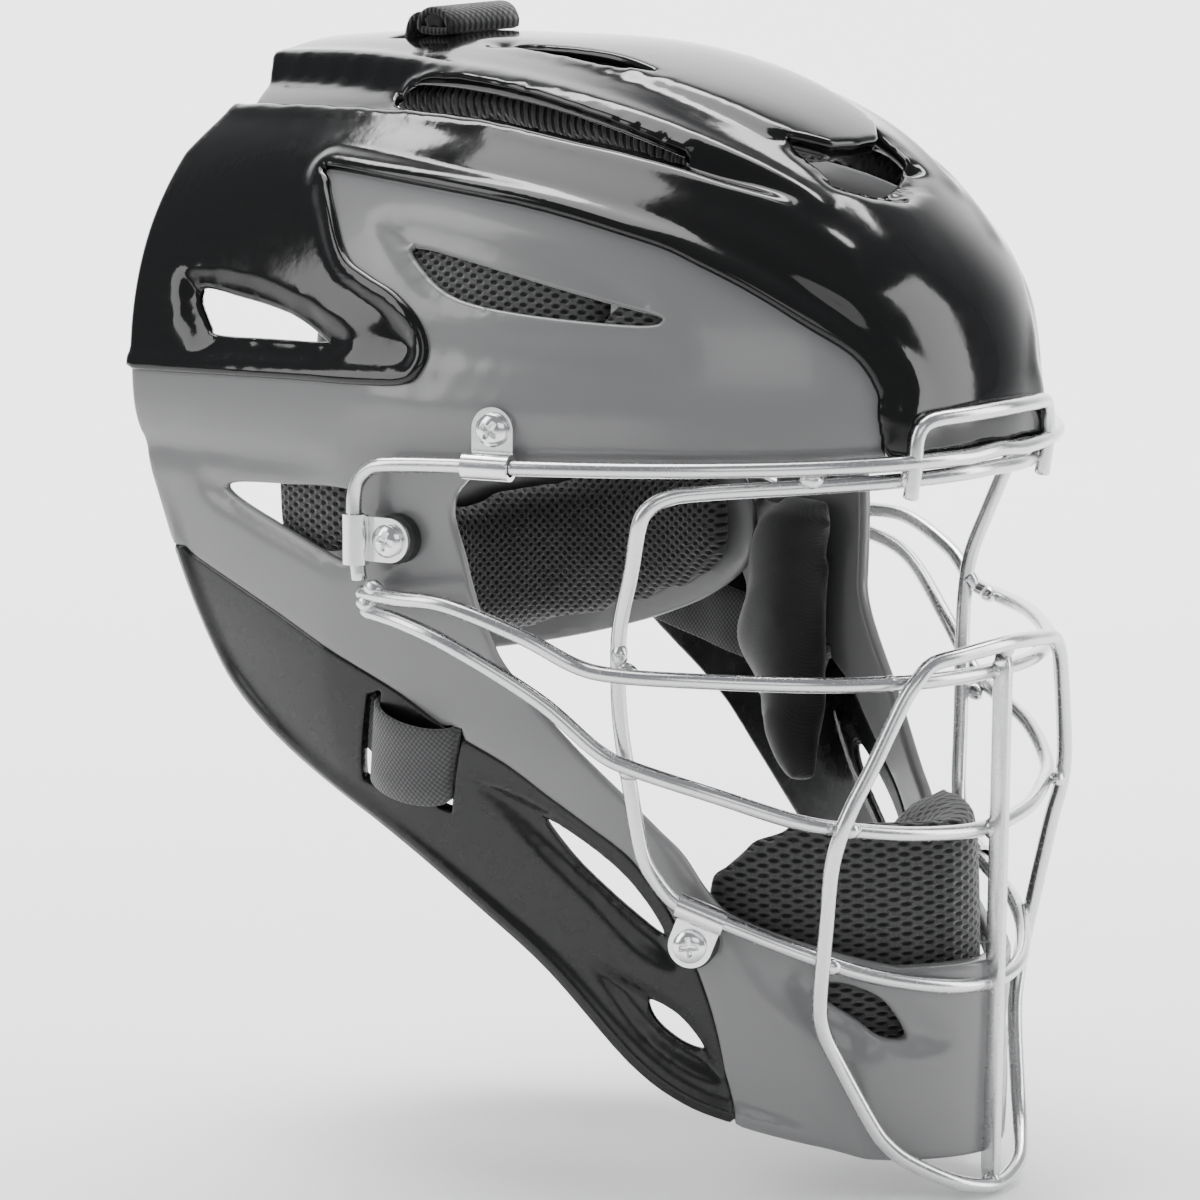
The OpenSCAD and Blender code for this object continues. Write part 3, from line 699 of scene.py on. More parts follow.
def woven(name, shade, pitch_u, pitch_v, depth, sheen=0.3, flat=False):
    """Plain weave or knit: ribs in two directions over fine fibre noise; the gaps between threads are
    painted darker as painted shade and the thread tops lighter as painted light.
    """
    mat, tree, shader = node_tree(name)
    vector = wrap_vector(tree, pitch_u, pitch_v, flat)
    near = math_node(tree, "MINIMUM", cell_distance(tree, vector, 0.0), cell_distance(tree, vector, 0.5))
    thread = spread(tree, near, 1.0, 0.0, 0.05, 0.48)
    fuzz = noise(tree, 2200.0, 4.0)
    body = math_node(tree, "MULTIPLY", thread, spread(tree, fuzz, 0.7, 1.0))
    # colour: dark in the gaps between threads (painted shade) up to light on the thread tops (painted
    # light), with fibre fuzz
    tree.links.new(tint(tree, body, grey(shade * 0.3), grey(shade * 1.5)), shader.inputs["Base Color"])
    shader.inputs["Roughness"].default_value = 0.8
    shader.inputs["Sheen Weight"].default_value = sheen
    shader.inputs["Specular IOR Level"].default_value = 0.25
    bump(tree, shader, body, depth)
    return mat


BLACK_GLOSS = moulded("black_gloss", 0.0035, 0.07, vary=0.05, gloss=0.42)
GREY_GLOSS = moulded("grey_gloss", 0.160, 0.23, coat=0.15, vary=0.04, mottling=0.03)
BLACK_SATIN = moulded("black_satin", 0.0045, 0.22, vary=0.08, peel=0.00003, gloss=0.4)
RUBBER = moulded("rubber", 0.014, 0.5, vary=0.15, peel=0.00006)
BLACK_PLASTIC = moulded("black_plastic", 0.014, 0.35, vary=0.12, peel=0.00005)
CAGE_WIRE = metal("cage_wire", 0.70, 0.19, 0.10)
CLIP_STEEL = metal("clip_steel", 0.86, 0.12, 0.12, grain=1500.0)
PLAIN_STEEL = metal("plain_steel", 0.55, 0.32, 0.15)
MESH_FABRIC = spacer_mesh("mesh_fabric")
MESH_FABRIC_FLAT = spacer_mesh("mesh_fabric_flat", flat=True)
SMOOTH_FABRIC = woven("smooth_fabric", 0.013, 0.0008, 0.0008, 0.00008, sheen=0.5)
WEBBING = woven("webbing", 0.016, 0.0024, 0.0014, 0.0003, flat=True)
ELASTIC = woven("elastic", 0.085, 0.0011, 0.0016, 0.0002)


def finish_piece(obj, material, slot, body, *nodes):
    obj.data.materials.clear()
    obj.data.materials.append(material)
    if nodes:
        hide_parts(*nodes)
    if body:
        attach(obj, body)
    return obj


# ----------------------------------------------------------------------- shell
STEP = 1.55
SKIN_POINTS, SKIN_FACES = form_skin(STEP)
RIM = 1.3


def black_side(p):
    return signed_far(side_of(p), BLACK_EDGE)


def jaw_side(p):
    return signed_far(side_of(p), JAW_EDGE)


def black_room(p):
    return np.minimum(wall_room(p) - RIM, black_side(p) - 1.5)


def face_room(p):
    under_crown = 1.6 - black_side(p)
    beside_jaw = -0.5 - jaw_side(p)
    return np.minimum(np.minimum(wall_room(p) - RIM, under_crown), beside_jaw)


def jaw_room(p):
    return np.minimum(wall_room(p) - RIM, jaw_side(p) - 0.9)


def halved(points, faces):
    """The same part of the form in triangles half the size."""
    edges = np.sort(np.concatenate([faces[:, [0, 1]], faces[:, [1, 2]], faces[:, [2, 0]]]), 1)
    pairs, place = np.unique(edges, axis=0, return_inverse=True)
    place = place.reshape(3, -1) + len(points)
    middle = to_form((points[pairs[:, 0]] + points[pairs[:, 1]]) / 2, 1)
    a, b, c = faces.T
    ab, bc, ca = place
    parts = [np.stack(corner, 1) for corner in ((a, ab, ca), (ab, b, bc), (ca, bc, c), (ab, bc, ca))]
    return np.concatenate([points, middle]), np.concatenate(parts)


def neighbour_mean(faces, count):
    """Function that gives the mean of a value over each point's neighbours on a mesh."""
    first = np.concatenate([faces[:, 0], faces[:, 1], faces[:, 2]])
    second = np.concatenate([faces[:, 1], faces[:, 2], faces[:, 0]])
    near = np.maximum(np.bincount(first, minlength=count) + np.bincount(second, minlength=count), 1)

    def mean(values):
        total = np.bincount(first, values[second], count) + np.bincount(second, values[first], count)
        return total / near

    return mean


def relaxed(points, faces, rounds):
    """Spread the points of a mesh evenly over the form. The points along its edge stay."""
    mean = neighbour_mean(faces, len(points))
    edges = np.sort(np.concatenate([faces[:, [0, 1]], faces[:, [1, 2]], faces[:, [2, 0]]]), 1)
    pairs, uses = np.unique(edges, axis=0, return_counts=True)
    free = np.ones(len(points), bool)
    free[pairs[uses == 1].ravel()] = False
    for _ in range(rounds):
        middle = np.stack([mean(points[:, axis]) for axis in range(3)], 1)
        points = np.where(free[:, None], 0.4 * points + 0.6 * middle, points)
    points[free] = to_form(points[free], 2)
    return points


def soften(values, faces, rounds):
    """Even out a value over the mesh, so that a step between two levels is not ragged."""
    mean = neighbour_mean(faces, len(values))
    for _ in range(rounds):
        values = 0.4 * values + 0.6 * mean(values)
    return values


def shell_part(name, room, lift, roundness, x_side=0):
    points, faces = SKIN_POINTS, SKIN_FACES
    step = STEP
    if x_side:
        middle = points[faces].mean(1)
        near = (middle[:, 0] * x_side > 0) & (jaw_side(middle) > -3 * STEP)
        points, faces = halved(points, faces[near])
        step = STEP / 2
    points, faces = clip(points, faces, room, step)
    points = relaxed(points, faces, 6)
    height = soften(relief(points), faces, 5)
    inner = np.minimum(-WALL, height - 2.4)
    outer = height + lift(points)
    return new_mesh(name, *thick_mesh(points, faces, outer, inner, roundness))


def black_lift(p):
    """The black coat of the crown stands proud and swells into a lip along its edge."""
    return 0.5 + 1.7 * (1 - smooth_step((black_side(p) - 2.2) / 4.5))


def jaw_lift(p):
    return 0.25 + rim_roll(p)


def build_shell():
    crown = shell_part("crown_moulding", black_room, black_lift, 1.5)
    finish_piece(crown, BLACK_GLOSS, "black_gloss", "shell", "crown_shell")
    face = shell_part("face_moulding", face_room, rim_roll, RIM)
    finish_piece(face, GREY_GLOSS, "grey_gloss", "shell", "face_shell")
    for side, x_side in (("right", -1), ("left", 1)):
        jaw = shell_part("jaw_moulding_" + side, jaw_room, jaw_lift, 0.9, x_side)
        finish_piece(jaw, BLACK_SATIN, "black_satin", "shell", "jaw_panel_" + side)


# ------------------------------------------------------------------------ cage
WIRE_R = 2.1
BROW_OFF = 3.6 + WIRE_R


def form_point(z, angle, off=0.0):
    """Point on the form at a height and at an angle in degrees from straight ahead."""
    power = float(table(np.array([z]), POWER_BY_Z)[0])
    width = HALF_W * float(table(np.array([z]), WIDTH_BY_Z)[0]) + off
    reach = FRONT_REACH + float(table(np.array([z]), FRONT_BY_Z)[0]) + off
    s, c = math.sin(math.radians(angle)), math.cos(math.radians(angle))
    x = width * math.copysign(abs(s) ** (2 / power), s)
    return (x, MID_Y - reach * math.copysign(abs(c) ** (2 / power), c), z)


def brow_wire(angle):
    return form_point(24.8 - 2.4 * (abs(angle) / 80) ** 3, angle, BROW_OFF)


UPPER_BAR = [(-105.3, 1.4, -9.4), (-105.7, 2.6, 6), (-105.6, 2.6, 13), (-105.3, 1.2, 17.6),
             (-104.9, -2.4, 20.8), (-104.4, -7.5, 22.0)]
UPPER_BAR += [brow_wire(a) for a in range(-75, 0, 5)] + [(0, -132.6, 25.6)]
EYE_FRAME = [(0, -131.4, 20.6), (-15, -129.6, 20.2), (-32, -121.4, 19.4), (-52, -107.5, 18.8),
             (-72, -90, 18), (-80, -83, 16.9),
             (-84, -79, 13.6), (-85, -77, 9), (-82.5, -72.5, -4), (-80.5, -67.5, -18), (-79.5, -66, -30),
             (-78.5, -66, -45),
             (-76, -67.5, -63), (-73, -69, -80), (-70, -71.5, -88), (-66, -76.5, -95), (-59, -86, -99.5),
             (-49, -104, -107),
             (-36, -117, -113.5), (-18, -127.5, -118), (0, -130.5, -119.5)]
UPPER_RING = [(-103.6, 2, -13.4), (-105.4, -12, -13.4), (-104.5, -28, -14), (-98, -48, -21),
              (-91, -61, -28.5), (-87, -72, -30.5),
              (-76, -90, -31.5), (-57, -109.5, -33), (-40, -120.5, -34), (-22, -128, -34.4),
              (0, -131, -34.4)]
LOWER_RING = [(-103, 1, -18.2), (-105, -14, -20), (-103, -30, -25.5), (-92.5, -50, -39),
              (-86, -64, -51.5), (-82, -73, -56),
              (-72, -93, -62.5), (-58, -109, -69.5), (-44, -117.6, -73), (-24, -125.6, -76),
              (0, -129, -77.5)]
CHIN_LOOP = [(0, -137.5, -26), (-18, -134.5, -27.5), (-28, -131.5, -29), (-33, -130, -33),
             (-37, -128, -39), (-44.5, -124, -55),
             (-49.6, -120.8, -66), (-51.6, -118.4, -74), (-51.4, -115.5, -84), (-49.5, -112.6, -100),
             (-47.3, -109.2, -119),
             (-45.5, -108.8, -128), (-41, -111, -138), (-34, -117, -155), (-30.5, -120, -161),
             (-26, -123.6, -165.5), (-17, -129.6, -171),
             (-8, -132.4, -174), (0, -133.4, -175)]
BROW_LOOP = [(-30.5, -125.6, 15.2), (-30.5, -127, 24), (-30.3, -127.3, 30), (-29, -127.9, 33.6),
             (-25.5, -129.3, 35.6), (-14, -133, 36.4), (0, -135, 36.8)]


def mirrored(half):
    return list(half) + [(-x, y, z) for x, y, z in reversed(half[:-1])]


def even_line(points, spacing, closed=False):
    """Smooth line through the points, with even steps along it."""
    fine = curve_through(points, closed=closed, pieces=14)
    if closed:
        fine = np.concatenate([fine, fine[:1]])
    reach = np.concatenate([[0], np.cumsum(np.linalg.norm(np.diff(fine, axis=0), axis=1))])
    count = max(4, int(round(reach[-1] / spacing)))
    stops = np.linspace(0, reach[-1], count + 1)
    line = np.stack([np.interp(stops, reach, fine[:, k]) for k in range(3)], 1)
    return line[:-1] if closed else line


def carried_frames(line, closed=False):
    """Two directions square to the line at each point, carried along without twist."""
    if closed:
        ahead = np.roll(line, -1, axis=0) - np.roll(line, 1, axis=0)
    else:
        ahead = np.gradient(line, axis=0)
    ahead /= np.linalg.norm(ahead, axis=1)[:, None]
    start = np.array([0, 0, 1.0]) if abs(ahead[0][2]) < 0.8 else np.array([0, 1.0, 0])
    side = np.zeros_like(line)
    u = start
    for i, t in enumerate(ahead):
        u = u - t * (u @ t)
        u /= np.linalg.norm(u)
        side[i] = u
    if closed:
        last = side[-1] - ahead[0] * (side[-1] @ ahead[0])
        last /= np.linalg.norm(last)
        twist = math.atan2(np.cross(last, side[0]) @ ahead[0], last @ side[0])
        for i, t in enumerate(ahead):
            a = twist * i / len(line)
            side[i] = side[i] * math.cos(a) + np.cross(t, side[i]) * math.sin(a)
    return ahead, side, np.cross(ahead, side)


def sweep(line, side, up, section, scale, closed=False):
    """Section of (side, up) pairs carried along a line, with its ends closed unless it is a loop."""
    n, m = len(line), len(section)
    spokes = section[None, :, 0, None] * side[:, None] + section[None, :, 1, None] * up[:, None]
    points = (line[:, None] + scale[:, None, None] * spokes).reshape(-1, 3)
    i, k = np.meshgrid(np.arange(n if closed else n - 1), np.arange(m), indexing="ij")
    i, k = i.ravel(), k.ravel()
    next_i, next_k = (i + 1) % n, (k + 1) % m
    faces = [np.stack([i * m + k, i * m + next_k, next_i * m + next_k, next_i * m + k], 1)]
    if not closed:
        points = np.concatenate([points, line[:1], line[-1:]])
        k = np.arange(m)
        next_k = (k + 1) % m
        last_row = (n - 1) * m
        faces.append(np.stack([np.full(m, len(points) - 2), next_k, k], 1))
        faces.append(np.stack([np.full(m, len(points) - 1), last_row + k, last_row + next_k], 1))
    return points, faces


def tube(points, radius, closed=False, sides=18, spacing=1.8, ease=0.35):
    """Round wire along a smooth line, its cut ends slightly eased."""
    line = even_line(points, spacing, closed)
    ahead, side, up = carried_frames(line, closed)
    radii = np.full(len(line), radius)
    if not closed:
        line = np.concatenate([[line[0] - ahead[0] * ease], line, [line[-1] + ahead[-1] * ease]])
        side = np.concatenate([side[:1], side, side[-1:]])
        up = np.concatenate([up[:1], up, up[-1:]])
        radii = np.concatenate([[radius - ease], radii, [radius - ease]])
    angle = np.arange(sides) * 2 * math.pi / sides
    return sweep(line, side, up, np.stack([np.cos(angle), np.sin(angle)], 1), radii, closed)


def bead(centre, along, length, radius):
    """Weld bead: a small uneven fillet over two wires that touch."""
    along = np.array(along, float)
    along /= np.linalg.norm(along)
    other = np.cross(along, (0.3, 0.5, 0.8))
    other /= np.linalg.norm(other)
    third = np.cross(along, other)
    rows, sides = 9, 14
    points = [np.array(centre) - along * length / 2]
    for i in range(1, rows):
        t = i / rows
        r = radius * math.sin(math.pi * t) ** 0.7
        for k in range(sides):
            a = 2 * math.pi * k / sides
            lump = 1 + 0.07 * math.sin(3 * a + 5 * t) + 0.06 * math.sin(11 * t + 2 * a)
            spoke = math.cos(a) * other + math.sin(a) * third
            points.append(np.array(centre) + along * length * (t - 0.5) + r * lump * spoke)
    points.append(np.array(centre) + along * length / 2)
    quads, tris = [], []
    for k in range(sides):
        m = (k + 1) % sides
        tris.append((0, 1 + m, 1 + k))
        last = 1 + (rows - 2) * sides
        tris.append((len(points) - 1, last + k, last + m))
        for i in range(rows - 2):
            a = 1 + i * sides
            quads.append((a + k, a + m, a + sides + m, a + sides + k))
    return np.array(points), [np.array(quads), np.array(tris)]


def gather(parts):
    """Several meshes as one list of points and faces."""
    points, faces, start = [], [], 0
    for part_points, part_faces in parts:
        points.append(part_points)
        faces += [f + start for f in part_faces]
        start += len(part_points)
    return np.concatenate(points), faces


def turn_mirror(points, faces):
    return points * np.array([-1, 1, 1]), [f[:, ::-1] for f in faces]


def both_sides(parts):
    return parts + [turn_mirror(*part) for part in parts]


def build_cage():
    pieces = [("upper_wire", "upper_bar", mirrored(UPPER_BAR), False),
              ("upper_ring_wire", "upper_ring", mirrored(UPPER_RING), False),
              ("lower_ring_wire", "lower_ring", mirrored(LOWER_RING), False),
              ("eye_wire", "eye_frame", mirrored(EYE_FRAME)[:-1], True),
              ("chin_wire", "chin_loop", mirrored(CHIN_LOOP)[:-1], True),
              ("brow_wire", "brow_loop", mirrored(BROW_LOOP), False)]
    for name, node, line, closed in pieces:
        wire = new_mesh(name, *tube(line, WIRE_R, closed))
        finish_piece(wire, CAGE_WIRE, "cage_wire", "shell", node)
    bar = flat_bar((0, -134.6, -29.5), (0, -131.8, -174.0), 2.8, 5.2)
    finish_piece(new_mesh("centre_bar_wire", *bar), CAGE_WIRE, "cage_wire", "shell", "centre_bar")
    welds = [((-80.2, -67.2, -26), (0, 0, 1)), ((-83.3, -71.6, -29.8), (-0.6, 0.8, 0)),
             ((-79.6, -69.6, -57.3), (0.3, -0.8, -0.5)),
             ((-35.6, -122.6, -34), (1, -0.4, 0)), ((-48.5, -119.5, -72), (1, -0.5, 0)),
             ((-44.5, -110.8, -110.5), (1, -0.7, -0.3)),
             ((-30.5, -125, 20.4), (0.2, 0, 1)), ((-104.6, -3, -11.6), (0, 1, 0)),
             ((-104.2, 0, -16), (0, 1, 0)),
             ((-53, -109.8, 21), (0.8, -0.6, 0))]
    parts = both_sides([bead(place, along, 7.0, 2.3) for place, along in welds])
    for z, y in ((-34.4, -132.8), (-77.5, -131.2), (-119.5, -131.2), (-27.6, -135.6), (-173.6, -132.6)):
        parts.append(bead((0, y, z), (0, 0.2, 1), 6.5, 2.2))
    beads = new_mesh("weld_beads", *gather(parts))
    finish_piece(beads, CAGE_WIRE, "cage_wire", "shell")


def flat_bar(top, bottom, width, depth, ease=0.7, rows=40, end_scale=0.8):
    """Flat bar on edge from top to bottom with eased corners and ends."""
    section = []
    for quarter, (sx, sy) in enumerate(((1, 1), (-1, 1), (-1, -1), (1, -1))):
        for k in range(4):
            a = math.radians(30 * k + 90 * quarter)
            corner_x, corner_y = sx * (width / 2 - ease), sy * (depth / 2 - ease)
            section.append((corner_x + ease * math.cos(a), corner_y + ease * math.sin(a)))
    top, bottom = np.array(top), np.array(bottom)
    line = bottom + (top - bottom) * np.linspace(0, 1, rows + 1)[:, None]
    scale = np.ones(rows + 1)
    scale[[0, -1]] = end_scale
    across = np.repeat([[1.0, 0, 0]], rows + 1, 0)
    ahead = np.repeat([[0, 1.0, 0]], rows + 1, 0)
    return sweep(line, across, ahead, np.array(section), scale)


# ----------------------------------------------------------- clips and screws
CLIP_DROP = 9.6
BROW_STAND = BROW_OFF - 0.85
TAB_FACE = 3.6
CLIP_SHEET = 1.1


def turned(axis, degrees):
    return Matrix.Rotation(math.radians(degrees), 4, axis)


def clip_frames():
    """Frames of the three clips on the right: origin on the wire, X to the shell, Z to the screw."""
    upper = Matrix.Translation(brow_wire(-69.3)) @ turned("Z", 13)
    ear = Matrix.Translation((-105.5, 2.4, 1.4)) @ turned("Z", 7) @ turned("X", 90)
    jaw = Matrix.Translation((-62.6, -81.2, -97.2)) @ turned("Z", 27) @ turned("X", 201)
    return (upper, BROW_STAND, 6.5, 35), (ear, TAB_FACE, 11, 12), (jaw, TAB_FACE, 11.6, 62)


def placed(matrix, part):
    points, faces = part
    grid = np.array(matrix)
    return points @ grid[:3, :3].T + grid[:3, 3], faces


def screw(length, turn, sides=72, rings=22, head=4.5, shank=1.8):
    """Domed head with a cross recess, and a plain shank, pointing along +X."""
    rows = []
    a = np.arange(sides) * 2 * math.pi / sides
    for i in range(1, rings + 1):
        r = head * (i / rings) ** 0.85
        y, z = r * np.cos(a), r * np.sin(a)
        dome = -2.7 + 1.5 * (r / head) ** 3.2
        c, s = math.cos(math.radians(turn)), math.sin(math.radians(turn))
        u, v = np.abs(c * y + s * z), np.abs(-s * y + c * z)
        arm = np.minimum(u, v)
        reach = np.maximum(u, v)
        groove = smooth_step((0.72 - arm) / 0.34) * smooth_step((2.75 - reach) / 0.5)
        depth = 1.5 * groove * (1 - 0.25 * reach / 2.7)
        rows.append(np.stack([dome + depth, y, z], 1))
    rows.append(np.stack([np.full(sides, -0.55), head * np.cos(a), head * np.sin(a)], 1))
    rows.append(np.stack([np.full(sides, 0.0), (head - 0.4) * np.cos(a), (head - 0.4) * np.sin(a)], 1))
    rows.append(np.stack([np.full(sides, 0.0), shank * np.cos(a), shank * np.sin(a)], 1))
    rows.append(np.stack([np.full(sides, float(length)), shank * np.cos(a), shank * np.sin(a)], 1))
    points = np.concatenate([np.array([[-1.2, 0, 0]])] + rows + [np.array([[length + 0.4, 0, 0]])])
    k = np.arange(sides)
    m = (k + 1) % sides
    tris = [np.stack([np.zeros(sides, int), 1 + k, 1 + m], 1)]
    n = len(rows)
    last = 1 + (n - 1) * sides
    tris.append(np.stack([np.full(sides, len(points) - 1), last + m, last + k], 1))
    quads = [np.stack([1 + i * sides + k, 1 + (i + 1) * sides + k, 1 + (i + 1) * sides + m,
                       1 + i * sides + m], 1) for i in range(n - 1)]
    return points, [np.concatenate(quads), np.concatenate(tris)]


def dress_node(name, material, bevel=0.0002):
    """Better material and eased edges for a CAD node that keeps its shape."""
    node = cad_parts[name]
    node.data.materials.clear()
    node.data.materials.append(material)
    if bevel:
        edge = node.modifiers.new("eased_edges", "BEVEL")
        edge.width = bevel
        edge.segments = 2
        edge.limit_method = "ANGLE"
        edge.angle_limit = math.radians(40)
    return node


def build_fasteners():
    parts = []
    for grid, face, length, turn in clip_frames():
        place = grid @ Matrix.Translation((face - 2 * CLIP_SHEET, 0, CLIP_DROP))
        parts.append(placed(place, screw(length, turn)))
    screws = new_mesh("cross_screws", *gather(both_sides(parts)))
    finish_piece(screws, CLIP_STEEL, "plain_steel", "shell", "clip_screws")
    for name in ("upper_clips", "ear_clips", "jaw_clips"):
        dress_node(name, CLIP_STEEL, 0.0003)
    dress_node("clip_nuts", PLAIN_STEEL)
    dress_node("ear_spacers", RUBBER, 0.0005)
    dress_node("jaw_spacers", RUBBER, 0.0005)
    dress_node("strap_slide", BLACK_PLASTIC, 0.0004)
    dress_node("plate_rivets", PLAIN_STEEL, 0.0004)


# ------------------------------------------------------------------------ pads
PAD_GAP = 0.8
FOREHEAD_PAD = outline([(-190, 43), (-64, 43.5), (-63.5, 72), (-97, 81), (-190, 81.5)], 0, 4)
SIDE_PAD = outline([(-61.5, 43), (-8, 43), (9, 29), (11, -5), (43, -8), (45, 30), (39, 37), (15, 43),
                    (14, 69), (5, 83), (-40, 83), (-61.5, 73)])
JAW_PAD = outline([(21, -9), (23, -30), (14.5, -52), (0, -71), (-16, -90), (-22.5, -92), (-28, -80),
                   (-28, -60), (-25, -40), (-22, -20), (-18.5, -9)])
CHIN_PAD = outline([(-74, -92), (-80, -85), (-92, -77), (-120, -73.5), (-190, -73), (-190, -137),
                    (-120, -137), (-89, -137), (-79, -120), (-74, -104)], 4, 5)


def plump(room, thick, round_over):
    """Thickness of a pad whose sides pull in toward its edge."""
    t = np.clip(room / round_over, 0, 1)
    return thick * (0.30 + 0.70 * np.sqrt(np.clip(1 - (1 - t) ** 2, 0, 1)))


def pad_mesh(name, outline_room, thick, gap, round_over, channel=None, step=None, value=form_value,
             skin=None, dip=None):
    points, faces = skin or (PAD_SKIN_POINTS, PAD_SKIN_FACES)
    points, faces = clip(points, faces, outline_room, step or PAD_SKIN_STEP, value)
    room = np.maximum(outline_room(points), 0)
    swell = plump(room, thick, round_over)
    if channel is not None:
        swell -= channel(points)
    outer = np.full(len(points), -gap) - 0.9 * (1 - np.clip(room / 4, 0, 1)) ** 2
    inner = -gap - np.maximum(swell, 1.5)
    if dip is not None:
        outer -= dip(points)
    return new_mesh(name, *thick_mesh(points, faces, outer, inner, 1.4, value))


def puff(obj, cap, voxel=0.0045, pressure=4.0):
    """Blow the pad up a little as cloth, so that its faces crown and its edge puckers."""
    scene = bpy.context.scene
    bpy.context.view_layer.objects.active = obj
    remesh = obj.modifiers.new("even", "REMESH")
    remesh.mode = "VOXEL"
    remesh.voxel_size = voxel
    bpy.ops.object.select_all(action="DESELECT")
    obj.select_set(True)
    bpy.ops.object.modifier_apply(modifier="even")
    rest = np.empty(len(obj.data.vertices) * 3, np.float32)
    obj.data.vertices.foreach_get("co", rest)
    cloth = obj.modifiers.new("cloth", "CLOTH")
    cloth.settings.quality = 4
    cloth.settings.mass = 0.25
    cloth.settings.use_pressure = True
    cloth.settings.uniform_pressure_force = pressure
    cloth.settings.tension_stiffness = 18
    cloth.settings.effector_weights.gravity = 0
    for frame_number in range(1, 21):
        scene.frame_set(frame_number)
    graph = bpy.context.evaluated_depsgraph_get()
    blown = obj.evaluated_get(graph).data
    moved = np.empty_like(rest)
    blown.vertices.foreach_get("co", moved)
    obj.modifiers.remove(cloth)
    scene.frame_set(1)
    shift = (moved - rest).reshape(-1, 3)
    length = np.linalg.norm(shift, axis=1)
    shift *= np.minimum(1, cap * MM / np.maximum(length, 1e-9))[:, None]
    obj.data.vertices.foreach_set("co", (rest.reshape(-1, 3) + shift).astype(np.float32).ravel())
    smooth = obj.modifiers.new("smooth", "SUBSURF")
    smooth.levels = 1
    smooth.render_levels = 1
    bpy.ops.object.modifier_apply(modifier="smooth")
    obj.data.polygons.foreach_set("use_smooth", np.ones(len(obj.data.polygons), bool))
    return obj


def pad_piece(obj, material, slot, body, node, cap=1.6):
    obj = puff(obj, cap)
    finish_piece(obj, material, slot, body, node)


def one_side_room(outline, sign, from_x):
    def room(p):
        return np.minimum(signed_far(side_of(p), outline) - 1.5, p[:, 0] * sign - from_x)
    return room


def build_pads():
    gap = WALL + PAD_GAP
    seam_lines = (-34.0, 0.0, 34.0)

    def forehead_channels(p):
        return sum(3.5 * np.exp(-(((p[:, 0] - x) / 2.4) ** 2)) for x in seam_lines)

    forehead = pad_mesh("forehead_cushion", lambda p: signed_far(side_of(p), FOREHEAD_PAD) - 1.5, 11.0,
                        gap, 9.0, forehead_channels)
    pad_piece(forehead, MESH_FABRIC, "mesh_fabric", "shell", "forehead_pad")

    def crown_room(p):
        block = np.minimum(np.minimum(42.5 - np.abs(p[:, 0]), p[:, 1] + 64), 50.5 - p[:, 1])
        return np.where(p[:, 2] > 80, block, -FAR)

    def crown_channels(p):
        return sum(3.2 * np.exp(-(((p[:, 1] - y) / 2.4) ** 2)) for y in (-30.0, 10.0))

    def under_valley(p):
        return 1.8 * smooth_step((np.abs(p[:, 0]) - 28) / 9)

    crown = pad_mesh("crown_cushion", crown_room, 13.4, gap + 2.2, 8.0, crown_channels, dip=under_valley)
    pad_piece(crown, MESH_FABRIC_FLAT, "mesh_fabric", "shell", "crown_pad")

    def side_channels(p):
        across = (p[:, 2] - 42.0)
        return 3.0 * np.exp(-((across / 2.2) ** 2)) * smooth_step((12 - p[:, 1]) / 6)

    def jaw_facets(p):
        first = 3.4 * np.exp(-(((p[:, 2] + 34 + 0.35 * p[:, 1]) / 4.0) ** 2))
        second = 3.0 * np.exp(-(((p[:, 2] + 66 - 0.2 * p[:, 1]) / 4.0) ** 2))
        wing = 7.0 * smooth_step((p[:, 1] + 2) / 10) * smooth_step((p[:, 2] + 52) / 10)
        return first + second + wing

    for side, sign in (("right", -1), ("left", 1)):
        cushion = pad_mesh("side_cushion_" + side, one_side_room(SIDE_PAD, sign, 42), 9.0, gap, 7.0,
                           side_channels)
        pad_piece(cushion, MESH_FABRIC, "mesh_fabric", "shell", "side_pad_" + side)
        cheek = pad_mesh("jaw_cushion_" + side, one_side_room(JAW_PAD, sign, 12), 15.5, WALL + 3.4, 12.0,
                         jaw_facets)
        pad_piece(cheek, SMOOTH_FABRIC, "smooth_fabric", "shell", "jaw_pad_" + side)

    def chin_channels(p):
        return 3.0 * np.exp(-(((np.abs(p[:, 0]) - 52) / 2.4) ** 2))

    chin = pad_mesh("chin_cushion", lambda p: signed_far(side_of(p), CHIN_PAD) - 1.5, 18.5, WALL + 2.2,
                    13.0, chin_channels)
    pad_piece(chin, MESH_FABRIC, "mesh_fabric", "shell", "chin_pad")


# ------------------------------------------------------------------ back plate
PLATE_HALF_W = 79.0
PLATE_MID_Y = 10.0
PLATE_REACH = 86.0
PLATE_POWER = 2.1
PLATE_LEAN = -0.1
PLATE_WALL = 3.0
TONGUE_HALF = 28.0
PLATE_LOW = -57.0
TONGUE_TOP = 60.0
WING = outline([(6, -20), (7, -10), (12, -1), (24, 2), (60, 0), (90, -6), (125, -13), (125, -58),
                (96, -57), (70, -54), (46, -48), (27, -41), (15, -34), (8, -27)], 6, 7)


def plate_value(p):
    y = p[..., 1] - PLATE_LEAN * (p[..., 2] - PLATE_LOW) - PLATE_MID_Y
    reach = np.where(y > 0, PLATE_REACH, 4000.0)
    return (np.abs(p[..., 0]) / PLATE_HALF_W) ** PLATE_POWER + (np.abs(y) / reach) ** PLATE_POWER - 1


